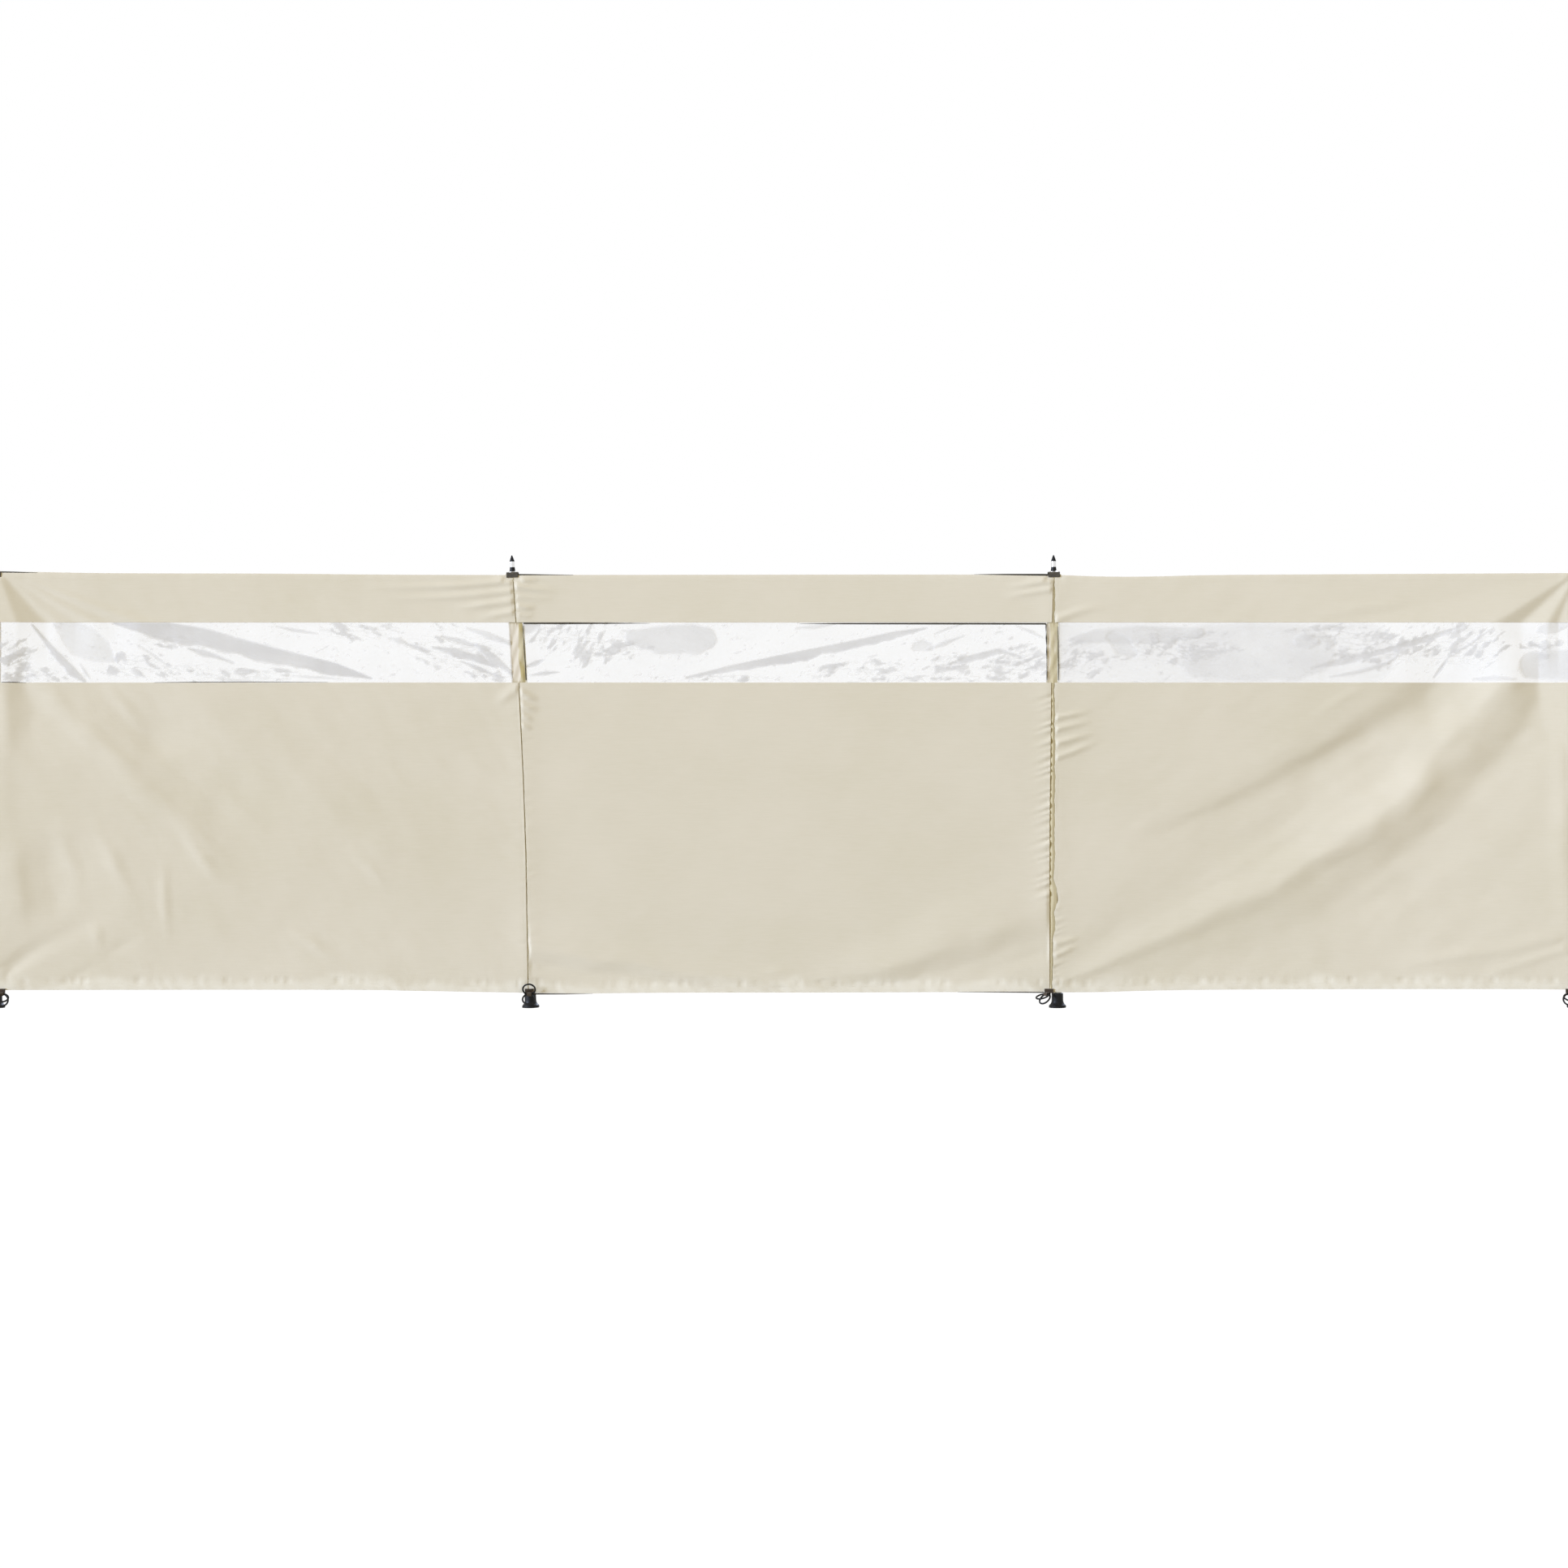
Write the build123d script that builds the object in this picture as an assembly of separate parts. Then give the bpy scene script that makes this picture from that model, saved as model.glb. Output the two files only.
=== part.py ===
from build123d import *
import math
import os

# Beach windbreak: three bays of cloth with a clear window strip, on four poles in sewn sleeves.
# Lengths are millimetres. X runs along the windbreak, Y to its back and Z up.
# The origin is on the ground, under the middle of the left end pole's foot.

# Run of bays
POLE_NAMES = ("left_end", "left_inner", "right_inner", "right_end")
BAY_NAMES = ("left_bay", "centre_bay", "right_bay")
BAY_WIDTH = 1500.0
POLE_SHIFT_SHARES = (0.0, 0.0151, 0.0157, 0.0)  # of the bay width, as each foot was set down
POLE_LEANS = (0.0, 2.4, 0.5, 0.0)  # degrees, each top towards the left end

# Cloth and window film
CLOTH_HEIGHT = 1190.0
HEM_TO_GROUND = 44.0
TOP_BAND_HEIGHT = 137.0
WINDOW_HEIGHT = 171.0
CLOTH_THICKNESS = 0.8
BACKING_THICKNESS = 0.8  # window film and turned-in hems, sewn behind the panels
HEM_WIDTH = 22.0
SEAM_LAP = 10.0
SEAM_GAP = 1.0

# Poles and their sleeves
POLE_DIAMETER = 22.0
POLE_WALL = 0.8
POLE_RISE = 3.0  # above the top hem
SLEEVE_PLAY = 1.5
SLEEVE_FLANGE = 22.0  # from the pole's centreline to the edge of the sleeve's strip
SLEEVE_NECK_SHARE = 0.4  # of the cloth, how deep the tube runs into its strip

# Pole feet
FOOT_DIAMETER = 49.0
FOOT_SOCKET_DIAMETER = 33.0
FOOT_HEIGHT = 42.0
FOOT_FLARE_HEIGHT = 22.0
FOOT_RIM_HEIGHT = 7.0
FOOT_FLOOR = 6.0
FOOT_CHAMFER = 1.5
PUSH_FIT = 0.1

# Plugs, spikes and spike caps at the tops of the poles
PLUG_DEPTH = 18.0
PLUG_SHOULDER = 3.0
NECK_DIAMETER = 17.0  # where it stands in the eyelet
NECK_HEIGHT = 16.0
SPIKE_DIAMETER = 14.0
SPIKE_LENGTH = 16.0
TENON_DIAMETER = 6.0
TENON_LENGTH = 7.0
CAP_DIAMETER = 13.6
CAP_HEIGHT = 18.0
CAP_SKIRT = 3.0
CAP_CROWN_SHARE = 0.2  # of the cap's radius, how blunt its point is

# Webbing over the tops of the sleeves, with its eyelets
WEBBING_THICKNESS = 1.6
TOP_TAB_WIDTH = 33.0
TOP_TAB_DROP = 8.0
TOP_TAB_BEND = 3.0
TOP_TAB_CLEARANCE = 0.3
EYELET_CLEARANCE = 0.4
EYELET_WALL = 0.8
EYELET_FLANGE = 2.5
EYELET_CROWN = 2.4
EYELET_RIM_SHARE = 0.4  # of the crown, how high the flange's edge stands

# Peg rings, in a loop of webbing on the bottom hem at each pole
RING_DIAMETER = 40.0
RING_ROD = 5.0
RING_SIDES = 8
RING_CLEARANCE = 0.3
RING_TILTS = ((14.0, 52.0), (150.0, 40.0), (38.0, 66.0), (28.0, 60.0))  # degrees, out from hanging
PEG_TAB_WIDTH = 25.0
PEG_TAB_END = 11.0  # sewn to the cloth, above its bottom edge
PEG_TAB_TUCK = 1.5  # below that edge
PEG_LOOP_WIDTH = 13.0
PEG_LOOP_DROP = 4.5  # from the bottom edge of the cloth to the middle of the loop
PEG_LOOP_CORNER = 2.0
PEG_LOOP_CLEARANCE = 0.3  # in front of the pole's foot
PEG_LOOP_SWINGS = (-8.0, 0.0, 4.0, 8.0)  # degrees, each foot of the loop towards the left end
PEG_LOOP_TWISTS = (20.0, 0.0, -52.0, -12.0)  # degrees about the upright, each front towards the right end
PEG_TAB_SHIFT_SHARES = (0.75, -0.05, -1.15, -0.9)  # of the sleeve's flange, along the run

# Heights and layers that follow from the sizes above
LAST_POLE = len(POLE_NAMES) - 1
CLOTH_TOP = HEM_TO_GROUND + CLOTH_HEIGHT
WINDOW_TOP = CLOTH_TOP - TOP_BAND_HEIGHT
WINDOW_BOTTOM = WINDOW_TOP - WINDOW_HEIGHT
POLE_RADIUS = POLE_DIAMETER / 2
POLE_TOP = CLOTH_TOP + POLE_RISE
SHOULDER_TOP = POLE_TOP + PLUG_SHOULDER
TOP_TAB_TOP = SHOULDER_TOP + WEBBING_THICKNESS
NECK_TOP = SHOULDER_TOP + NECK_HEIGHT
SPIKE_TOP = NECK_TOP + SPIKE_LENGTH
SLEEVE_BORE = POLE_RADIUS + SLEEVE_PLAY
SLEEVE_RADIUS = SLEEVE_BORE + CLOTH_THICKNESS
STRIP_BACK = -SLEEVE_RADIUS + SLEEVE_NECK_SHARE * CLOTH_THICKNESS
STRIP_FRONT = STRIP_BACK - CLOTH_THICKNESS
BACKING_FRONT = STRIP_FRONT - BACKING_THICKNESS
CLOTH_FRONT = BACKING_FRONT - CLOTH_THICKNESS
EYELET_TOP = TOP_TAB_TOP + EYELET_CROWN
EYELET_BORE = NECK_DIAMETER / 2 + EYELET_CLEARANCE
EYELET_BARREL = EYELET_BORE + EYELET_WALL
RING_RADIUS = (RING_DIAMETER - RING_ROD) / 2
RING_BORE = RING_RADIUS - RING_ROD / 2
RING_DROP = RING_RADIUS - math.sqrt(RING_BORE**2 - (PEG_LOOP_WIDTH / 2) ** 2)  # at the sides of a loop
RING_LANE = RING_ROD + 2 * RING_CLEARANCE
LOOP_HEIGHT = RING_ROD / 2 + RING_DROP + 2 * RING_CLEARANCE
LOOP_LENGTH = RING_LANE + LOOP_HEIGHT
LOOP_BACK = min(0, -FOOT_SOCKET_DIAMETER / 2 - PEG_LOOP_CLEARANCE - CLOTH_FRONT)  # from the cloth


def pole_x(pole):
    """Where a pole's foot stands along the run."""
    return (pole + POLE_SHIFT_SHARES[pole]) * BAY_WIDTH


def pole_frame(pole):
    """The frame of a pole: on the ground under its foot, with Z along the pole."""
    return Location((pole_x(pole), 0, 0), (0, -POLE_LEANS[pole], 0))


def beside(line, height):
    """Where a line stands along the run: a pole and a distance from its centreline."""
    pole, distance = line
    return pole_x(pole) - height * math.tan(math.radians(POLE_LEANS[pole])) + distance


def sheet(left, right, low, high, front, thickness):
    """A flat piece of cloth or film whose two sides follow their poles."""
    face_frame = Plane(origin=(0, front, 0), x_dir=(1, 0, 0), z_dir=(0, -1, 0))
    corners = [
        (beside(left, low), low),
        (beside(right, low), low),
        (beside(right, high), high),
        (beside(left, high), high),
    ]
    return extrude(face_frame * make_face(Polyline(*corners, close=True)), -thickness)


def spun(*edges):
    """A turned piece, from the edges of half its section: radius across, height up."""
    return revolve(Plane.XZ * make_face(edges), Axis.Z)


def outline(*points):
    """The straight edges of a section through these points, closed."""
    return Polyline(*points, close=True).edges()


def cloth_sides(bay):
    """The side edges of a bay's cloth: at the seam, or round the outside of an end sleeve."""
    left = (bay, -SLEEVE_RADIUS if bay == 0 else SEAM_GAP / 2)
    right = (bay + 1, SLEEVE_RADIUS if bay + 1 == LAST_POLE else -SEAM_GAP / 2)
    return left, right


def cloth_panel(bay, low, high, hem_low, hem_high):
    """A panel of cloth with its outer hem and its two sides turned in behind it."""
    left, right = cloth_sides(bay)
    turn = SLEEVE_FLANGE - SEAM_LAP
    panel = sheet(left, right, low, high, CLOTH_FRONT, CLOTH_THICKNESS)
    panel += sheet(left, right, hem_low, hem_high, BACKING_FRONT, BACKING_THICKNESS)
    panel += sheet(left, (bay, turn), low, high, BACKING_FRONT, BACKING_THICKNESS)
    panel += sheet((bay + 1, -turn), right, low, high, BACKING_FRONT, BACKING_THICKNESS)
    return panel


def top_band(bay):
    """The cloth above the window."""
    return cloth_panel(bay, WINDOW_TOP, CLOTH_TOP, CLOTH_TOP - HEM_WIDTH, CLOTH_TOP)


def lower_panel(bay):
    """The cloth below the window."""
    return cloth_panel(bay, HEM_TO_GROUND, WINDOW_BOTTOM, HEM_TO_GROUND, HEM_TO_GROUND + HEM_WIDTH)


def window(bay):
    """The clear film, lapped behind the cloth above and below and over the sleeves beside it."""
    inset = SLEEVE_FLANGE - SEAM_LAP + SEAM_GAP
    low, high = WINDOW_BOTTOM - SEAM_LAP, WINDOW_TOP + SEAM_LAP
    return sheet((bay, inset), (bay + 1, -inset), low, high, BACKING_FRONT, BACKING_THICKNESS)


def pole_tube():
    """The steel tube, from the floor of its foot to just above the cloth."""
    ring = Circle(POLE_RADIUS) - Circle(POLE_RADIUS - POLE_WALL)
    return Pos(0, 0, FOOT_FLOOR) * extrude(ring, POLE_TOP - FOOT_FLOOR)


def pole_foot():
    """A bell-shaped foot with a blind socket for the pole."""
    rim, socket, bore = FOOT_DIAMETER / 2, FOOT_SOCKET_DIAMETER / 2, POLE_RADIUS + PUSH_FIT
    foot = spun(
        *Polyline((0, FOOT_FLOOR), (0, 0), (rim, 0), (rim, FOOT_RIM_HEIGHT)).edges(),
        TangentArc((socket, FOOT_FLARE_HEIGHT), (rim, FOOT_RIM_HEIGHT), tangent=(0, -1)),
        *Polyline(
            (socket, FOOT_FLARE_HEIGHT),
            (socket, FOOT_HEIGHT),
            (bore, FOOT_HEIGHT),
            (bore, FOOT_FLOOR),
            (0, FOOT_FLOOR),
        ).edges(),
    )
    bevel = min(FOOT_CHAMFER, FOOT_RIM_HEIGHT / 3, (socket - bore) / 3)
    rims = foot.edges().filter_by(lambda edge: edge.geom_type == GeomType.CIRCLE)
    rim_edges = rims.filter_by(lambda edge: math.isclose(edge.radius, rim, rel_tol=0.01))
    mouth = rims.group_by(Axis.Z)[-1].sort_by(lambda edge: edge.radius)[-1]
    return chamfer([*rim_edges, mouth], bevel)


def sleeve(pole):
    """A strip of cloth sewn into a tube behind the seam, which the pole slides through."""
    strip_left = -SLEEVE_RADIUS if pole == 0 else -SLEEVE_FLANGE
    strip_right = SLEEVE_RADIUS if pole == LAST_POLE else SLEEVE_FLANGE
    strip = Pos(strip_left, STRIP_FRONT) * Rectangle(
        strip_right - strip_left, CLOTH_THICKNESS, align=(Align.MIN, Align.MIN)
    )
    section = strip + Circle(SLEEVE_RADIUS) - Circle(SLEEVE_BORE)
    return Pos(0, 0, HEM_TO_GROUND) * extrude(section, CLOTH_HEIGHT)


def pole_plug():
    """A plug in the top of the tube, with a shoulder under the webbing and a tapered neck for the spike."""
    inside, neck, body = POLE_RADIUS - POLE_WALL - PUSH_FIT, NECK_DIAMETER / 2, SPIKE_DIAMETER / 2
    bore = TENON_DIAMETER / 2 + PUSH_FIT
    return spun(
        *outline(
            (0, POLE_TOP - PLUG_DEPTH),
            (inside, POLE_TOP - PLUG_DEPTH),
            (inside, POLE_TOP),
            (POLE_RADIUS, POLE_TOP),
            (POLE_RADIUS, SHOULDER_TOP),
            (neck, SHOULDER_TOP),
            (neck, EYELET_TOP),
            (body, NECK_TOP),
            (bore, NECK_TOP),
            (bore, NECK_TOP - TENON_LENGTH),
            (0, NECK_TOP - TENON_LENGTH),
        )
    )


def spike():
    """A steel spike with a tenon below, in the plug, and one above, in its cap."""
    body, tenon = SPIKE_DIAMETER / 2, TENON_DIAMETER / 2
    return spun(
        *outline(
            (0, NECK_TOP - TENON_LENGTH),
            (tenon, NECK_TOP - TENON_LENGTH),
            (tenon, NECK_TOP),
            (body, NECK_TOP),
            (body, SPIKE_TOP),
            (tenon, SPIKE_TOP),
            (tenon, SPIKE_TOP + TENON_LENGTH),
            (0, SPIKE_TOP + TENON_LENGTH),
        )
    )


def spike_cap():
    """A pointed cap pushed onto the top of the spike."""
    side, bore = CAP_DIAMETER / 2, TENON_DIAMETER / 2 + PUSH_FIT
    top, hole_top = SPIKE_TOP + CAP_HEIGHT, SPIKE_TOP + TENON_LENGTH
    crown = CAP_CROWN_SHARE * side
    return spun(
        *outline(
            (side, SPIKE_TOP),
            (side, SPIKE_TOP + CAP_SKIRT),
            (crown, top),
            (0, top),
            (0, hole_top),
            (bore, hole_top),
            (bore, SPIKE_TOP),
        )
    )


def top_tab():
    """Webbing folded over the top of a sleeve, from the front of the cloth to the back of the tube."""
    back = SLEEVE_RADIUS + TOP_TAB_CLEARANCE
    width, height = back - CLOTH_FRONT, SHOULDER_TOP - (CLOTH_TOP - TOP_TAB_DROP)
    middle = (back + CLOTH_FRONT) / 2
    inner = RectangleRounded(width, 2 * height, TOP_TAB_BEND)
    outer = RectangleRounded(
        width + 2 * WEBBING_THICKNESS,
        2 * (height + WEBBING_THICKNESS),
        TOP_TAB_BEND + WEBBING_THICKNESS,
    )
    above = Rectangle(2 * width, 2 * height, align=(Align.CENTER, Align.MIN))
    fold = Pos(middle, CLOTH_TOP - TOP_TAB_DROP) * ((outer - inner) & above)
    strap = extrude(Plane.YZ * fold, TOP_TAB_WIDTH / 2, both=True)
    hole = extrude(Circle(EYELET_BARREL + PUSH_FIT), 2 * (TOP_TAB_TOP - CLOTH_TOP))
    return strap - Pos(0, 0, CLOTH_TOP) * hole


def eyelet():
    """A metal eyelet in the webbing, round the neck of the plug."""
    flange = EYELET_BARREL + EYELET_FLANGE
    return spun(
        *outline(
            (flange, TOP_TAB_TOP),
            (flange, TOP_TAB_TOP + EYELET_RIM_SHARE * EYELET_CROWN),
            (EYELET_BARREL, EYELET_TOP),
            (EYELET_BORE, EYELET_TOP),
            (EYELET_BORE, SHOULDER_TOP),
            (EYELET_BARREL, SHOULDER_TOP),
            (EYELET_BARREL, TOP_TAB_TOP),
        )
    )


def peg_frame(pole):
    """The frame of a peg tab: in the plane of the cloth's front, level with the middle of its loop."""
    height = HEM_TO_GROUND - PEG_LOOP_DROP
    return Pos(beside((pole, PEG_TAB_SHIFT_SHARES[pole] * SLEEVE_FLANGE), height), CLOTH_FRONT, height)


def loop_frame(pole):
    """The frame of a loop of webbing: in the middle of its back, swung and twisted as it hangs."""
    twist = PEG_LOOP_TWISTS[pole]
    clear = PEG_LOOP_WIDTH / 2 * math.sin(math.radians(abs(twist)))
    place = peg_frame(pole) * Pos(0, LOOP_BACK - clear, 0)
    return place * Rot(0, PEG_LOOP_SWINGS[pole], 0) * Rot(0, 0, twist)


def peg_tab(pole):
    """Webbing folded into a loop for the peg rings, with both its ends sewn to the front of the cloth."""
    middle = -WEBBING_THICKNESS - LOOP_LENGTH / 2
    corner = min(PEG_LOOP_CORNER, RING_ROD / 2)
    inner = Pos(middle, 0) * RectangleRounded(LOOP_LENGTH, LOOP_HEIGHT, corner)
    outer = Pos(middle, 0) * RectangleRounded(
        LOOP_LENGTH + 2 * WEBBING_THICKNESS,
        LOOP_HEIGHT + 2 * WEBBING_THICKNESS,
        corner + WEBBING_THICKNESS,
    )
    loop = extrude(Plane.YZ * (outer - inner), PEG_LOOP_WIDTH / 2, both=True)
    ends = Pos(0, 0, PEG_LOOP_DROP - PEG_TAB_TUCK) * Box(
        PEG_TAB_WIDTH,
        2 * WEBBING_THICKNESS,
        PEG_TAB_TUCK + PEG_TAB_END,
        align=(Align.CENTER, Align.MAX, Align.MIN),
    )
    return peg_frame(pole) * ends + loop_frame(pole) * loop


def peg_rings(pole):
    """The rings that pegs go through, as they lie in their loop of webbing."""
    section = Pos(RING_RADIUS, 0) * RegularPolygon(RING_ROD / 2, RING_SIDES)
    ring = Pos(0, 0, -RING_RADIUS) * Rot(90, 0, 0) * spun(*section.edges())
    seat = LOOP_HEIGHT / 2 - RING_CLEARANCE - RING_ROD / 2
    nearest = -WEBBING_THICKNESS - RING_CLEARANCE - RING_ROD / 2
    rings = []
    for lane, tilt in enumerate(RING_TILTS[pole]):
        height = math.copysign(seat, math.cos(math.radians(tilt)))
        place = loop_frame(pole) * Pos(0, nearest - lane * RING_LANE, height)
        rings.append(place * Rot(-tilt, 0, 0) * ring)
    return rings


def save(name, *solids):
    """Writes one node, as a single solid or as several that don't touch."""
    shape = solids[0] if len(solids) == 1 else Compound(children=list(solids))
    export_step(shape, os.path.join("parts", name + ".step"))


def main():
    os.makedirs("parts", exist_ok=True)
    frames = [pole_frame(pole) for pole in range(len(POLE_NAMES))]
    for bay, name in enumerate(BAY_NAMES):
        save(name + "_top_band", top_band(bay))
        save(name + "_window", window(bay))
        save(name + "_lower_panel", lower_panel(bay))
    for pole, name in enumerate(POLE_NAMES):
        save(name + "_pole", frames[pole] * pole_tube())
        save(name + "_foot", frames[pole] * pole_foot())
        save(name + "_sleeve", frames[pole] * sleeve(pole))
        save(name + "_top_tab", frames[pole] * top_tab())
        save(name + "_spike", frames[pole] * spike())
        save(name + "_spike_cap", frames[pole] * spike_cap())
        save(name + "_peg_tab", peg_tab(pole))
        save(name + "_peg_rings", *peg_rings(pole))
    save("pole_plugs", *[frame * pole_plug() for frame in frames])
    save("eyelets", *[frame * eyelet() for frame in frames])


main()
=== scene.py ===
import math

import bpy
import numpy as np
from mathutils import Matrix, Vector


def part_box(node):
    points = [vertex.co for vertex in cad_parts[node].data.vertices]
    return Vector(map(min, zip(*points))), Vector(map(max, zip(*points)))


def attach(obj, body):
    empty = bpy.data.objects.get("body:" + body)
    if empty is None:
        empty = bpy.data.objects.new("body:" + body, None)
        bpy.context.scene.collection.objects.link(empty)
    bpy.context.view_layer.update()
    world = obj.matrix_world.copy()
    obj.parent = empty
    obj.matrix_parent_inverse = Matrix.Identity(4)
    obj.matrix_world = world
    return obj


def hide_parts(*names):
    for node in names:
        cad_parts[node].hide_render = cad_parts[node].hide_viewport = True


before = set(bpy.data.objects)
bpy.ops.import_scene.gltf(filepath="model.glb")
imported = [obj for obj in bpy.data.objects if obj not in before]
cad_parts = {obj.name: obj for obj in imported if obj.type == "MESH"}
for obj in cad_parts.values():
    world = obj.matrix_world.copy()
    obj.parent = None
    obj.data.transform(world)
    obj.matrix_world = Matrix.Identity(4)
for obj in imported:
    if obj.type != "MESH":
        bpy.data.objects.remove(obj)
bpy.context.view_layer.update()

# Beach windbreak: soft cloth bays with a clear window strip, dressed over the CAD frame.
# Lengths are metres. X runs along the windbreak, Y to its back and Z up.

MM = 0.001
BODY = "root"
POLES = ("left_end", "left_inner", "right_inner", "right_end")
BAYS = ("left_bay", "centre_bay", "right_bay")

# Places read from the frame
HEM_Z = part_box("left_bay_lower_panel")[0].z
WINDOW_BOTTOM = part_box("left_bay_lower_panel")[1].z
WINDOW_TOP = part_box("left_bay_top_band")[0].z
CLOTH_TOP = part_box("left_bay_top_band")[1].z
WINDOW_MIDDLE = (WINDOW_BOTTOM + WINDOW_TOP) / 2
CLOTH_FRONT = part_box("left_bay_lower_panel")[0].y
FILM_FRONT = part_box("left_bay_window")[0].y
STRIP_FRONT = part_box("left_inner_sleeve")[0].y
SLEEVE_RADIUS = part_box("left_inner_sleeve")[1].y
FILM_LAP = WINDOW_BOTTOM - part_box("left_bay_window")[0].z

# The photograph's frame, in its own pixels: column from the left, row from the top
PHOTO_SIZE = 1932
PHOTO_END_COLUMNS = (-6.0, 1943.0)  # of the end poles, just outside the picture
PHOTO_HEM_ROW = 1223.0


def middle(node):
    """The middle of a CAD node's box."""
    low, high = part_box(node)
    return (low + high) / 2


POLE_ENDS = {pole: (middle(pole + "_foot"), middle(pole + "_spike_cap")) for pole in POLES}
RUN_LEFT = POLE_ENDS["left_end"][0].x
RUN_RIGHT = POLE_ENDS["right_end"][0].x
PIXEL = (RUN_RIGHT - RUN_LEFT) / (PHOTO_END_COLUMNS[1] - PHOTO_END_COLUMNS[0])


def column_x(column):
    """Where a column of the photograph lies along the run."""
    return RUN_LEFT + (np.asarray(column, float) - PHOTO_END_COLUMNS[0]) * PIXEL


def row_z(row):
    """How high a row of the photograph lies."""
    return HEM_Z + (PHOTO_HEM_ROW - np.asarray(row, float)) * PIXEL


def spots(points):
    """Points of the photograph, as places along the run and heights."""
    points = np.asarray(points, float)
    return np.stack([column_x(points[:, 0]), row_z(points[:, 1])], axis=1)


def pole_x(pole, z):
    """Where a pole's centreline lies along the run at a height."""
    foot, top = POLE_ENDS[pole]
    return foot.x + (top.x - foot.x) * (np.asarray(z, float) - foot.z) / (top.z - foot.z)


# Curves and unevenness. Each wave of a ripple has how fast it turns along two ways, its start and its share

UNEVEN_RIPPLE = ((1, 0, 0, 0.25), (2.31, 0, 1.3, 0.25))
CLOUD_SHARES = (0.55, 0.3, 0.15)  # of finer and finer layers
CLOUD_FINENESS = 2.1
CLOUD_CELLS = 97
CLOUD_CONTRAST = 1.5
CORNER_CUT = 0.25
CORNER_ROUNDS = 3


def smoothstep(t):
    """Nought to one, with soft ends."""
    t = np.clip(t, 0.0, 1.0)
    return t * t * (3 - 2 * t)


def bell(t):
    """One at nought, and a soft fall to both sides."""
    return np.exp(-(t**2))


def ripple(waves, a, b=0.0):
    """A sum of waves."""
    return sum(share * np.sin(turns_a * a + turns_b * b + start) for turns_a, turns_b, start, share in waves)


def uneven(t):
    """A slow, uneven swing between nought and one."""
    return 0.5 + ripple(UNEVEN_RIPPLE, t)


def clouds(x, z, seed, grain, way=0.0):
    """Seeded cloudy numbers, mostly from 0 to 1, with a grain in pixels drawn out along one way."""
    random = np.random.default_rng(seed)
    turn = math.radians(way)
    u = (x * math.cos(turn) + z * math.sin(turn)) / (grain[0] * PIXEL)
    v = (z * math.cos(turn) - x * math.sin(turn)) / (grain[1] * PIXEL)
    total = np.zeros(x.shape)
    for share in CLOUD_SHARES:
        table = random.random((CLOUD_CELLS, CLOUD_CELLS))
        column, row = np.floor(u).astype(int), np.floor(v).astype(int)
        across, up = smoothstep(u - column), smoothstep(v - row)
        left, right = column % CLOUD_CELLS, (column + 1) % CLOUD_CELLS
        for line, weight in ((row % CLOUD_CELLS, 1 - up), ((row + 1) % CLOUD_CELLS, up)):
            total += share * (table[line, left] * (1 - across) + table[line, right] * across) * weight
        u, v = CLOUD_FINENESS * u, CLOUD_FINENESS * v
    return 0.5 + CLOUD_CONTRAST * (total - 0.5)


def strays(x, z, size, *cloud):
    """Seeded shifts to both sides, over a size."""
    return size * (clouds(x, z, *cloud) - 0.5)


def blotches(x, z, contrast, floor, *cloud):
    """Seeded blotches, nought to one."""
    return smoothstep(contrast * clouds(x, z, *cloud) - floor)


def softened(table, places, values, softness, margin):
    """A section with its corners rounded, at a table's even steps, which softness and margin count."""
    blur = np.exp(-0.5 * (np.arange(-margin, margin + 1) / softness) ** 2)
    sharp = np.pad(np.interp(table, places, values), margin, mode="edge")
    return np.convolve(sharp, blur / blur.sum(), "valid")


def rounded(points):
    """A line of points with its corners cut, so that what follows it bends softly."""
    points = np.asarray(points, float)
    for _ in range(CORNER_ROUNDS):
        start, end = points[:-1], points[1:]
        cut = np.empty((2 * len(start), 2))
        cut[0::2] = (1 - CORNER_CUT) * start + CORNER_CUT * end
        cut[1::2] = CORNER_CUT * start + (1 - CORNER_CUT) * end
        points = np.vstack([points[:1], cut, points[-1:]])
    return points


def runs(path):
    """How far along a line each of its points lies."""
    return np.concatenate([[0.0], np.cumsum(np.linalg.norm(np.diff(path, axis=0), axis=1))])


def near_line(x, z, path, reach):
    """Which places lie in the box round a line, with some reach."""
    low, high = path.min(axis=0) - reach, path.max(axis=0) + reach
    return (x > low[0]) & (x < high[0]) & (z > low[1]) & (z < high[1])


def along_line(x, z, path):
    """The distance of each place from a line, its side of it and its share of the way along."""
    before = runs(path)
    nearest = np.full(x.shape, np.inf)
    side, share = np.zeros(x.shape), np.zeros(x.shape)
    for (ax, az), (sx, sz), run in zip(path, np.diff(path, axis=0), before):
        length = math.hypot(sx, sz)
        t = np.clip(((x - ax) * sx + (z - az) * sz) / length**2, 0.0, 1.0)
        dx, dz = x - ax - t * sx, z - az - t * sz
        distance = np.hypot(dx, dz)
        closer = distance < nearest
        nearest = np.where(closer, distance, nearest)
        side = np.where(closer, sx * dz - sz * dx, side)
        share = np.where(closer, run + t * length, share)
    return nearest, side, share / before[-1]


def even_shares(values, share):
    """One value, or values at even steps along a line, at shares of the way along it."""
    values = np.atleast_1d(values)
    return np.interp(share, np.linspace(0, 1, len(values)), values)


# Edges of the cloth that wander from straight, as photograph points

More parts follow.
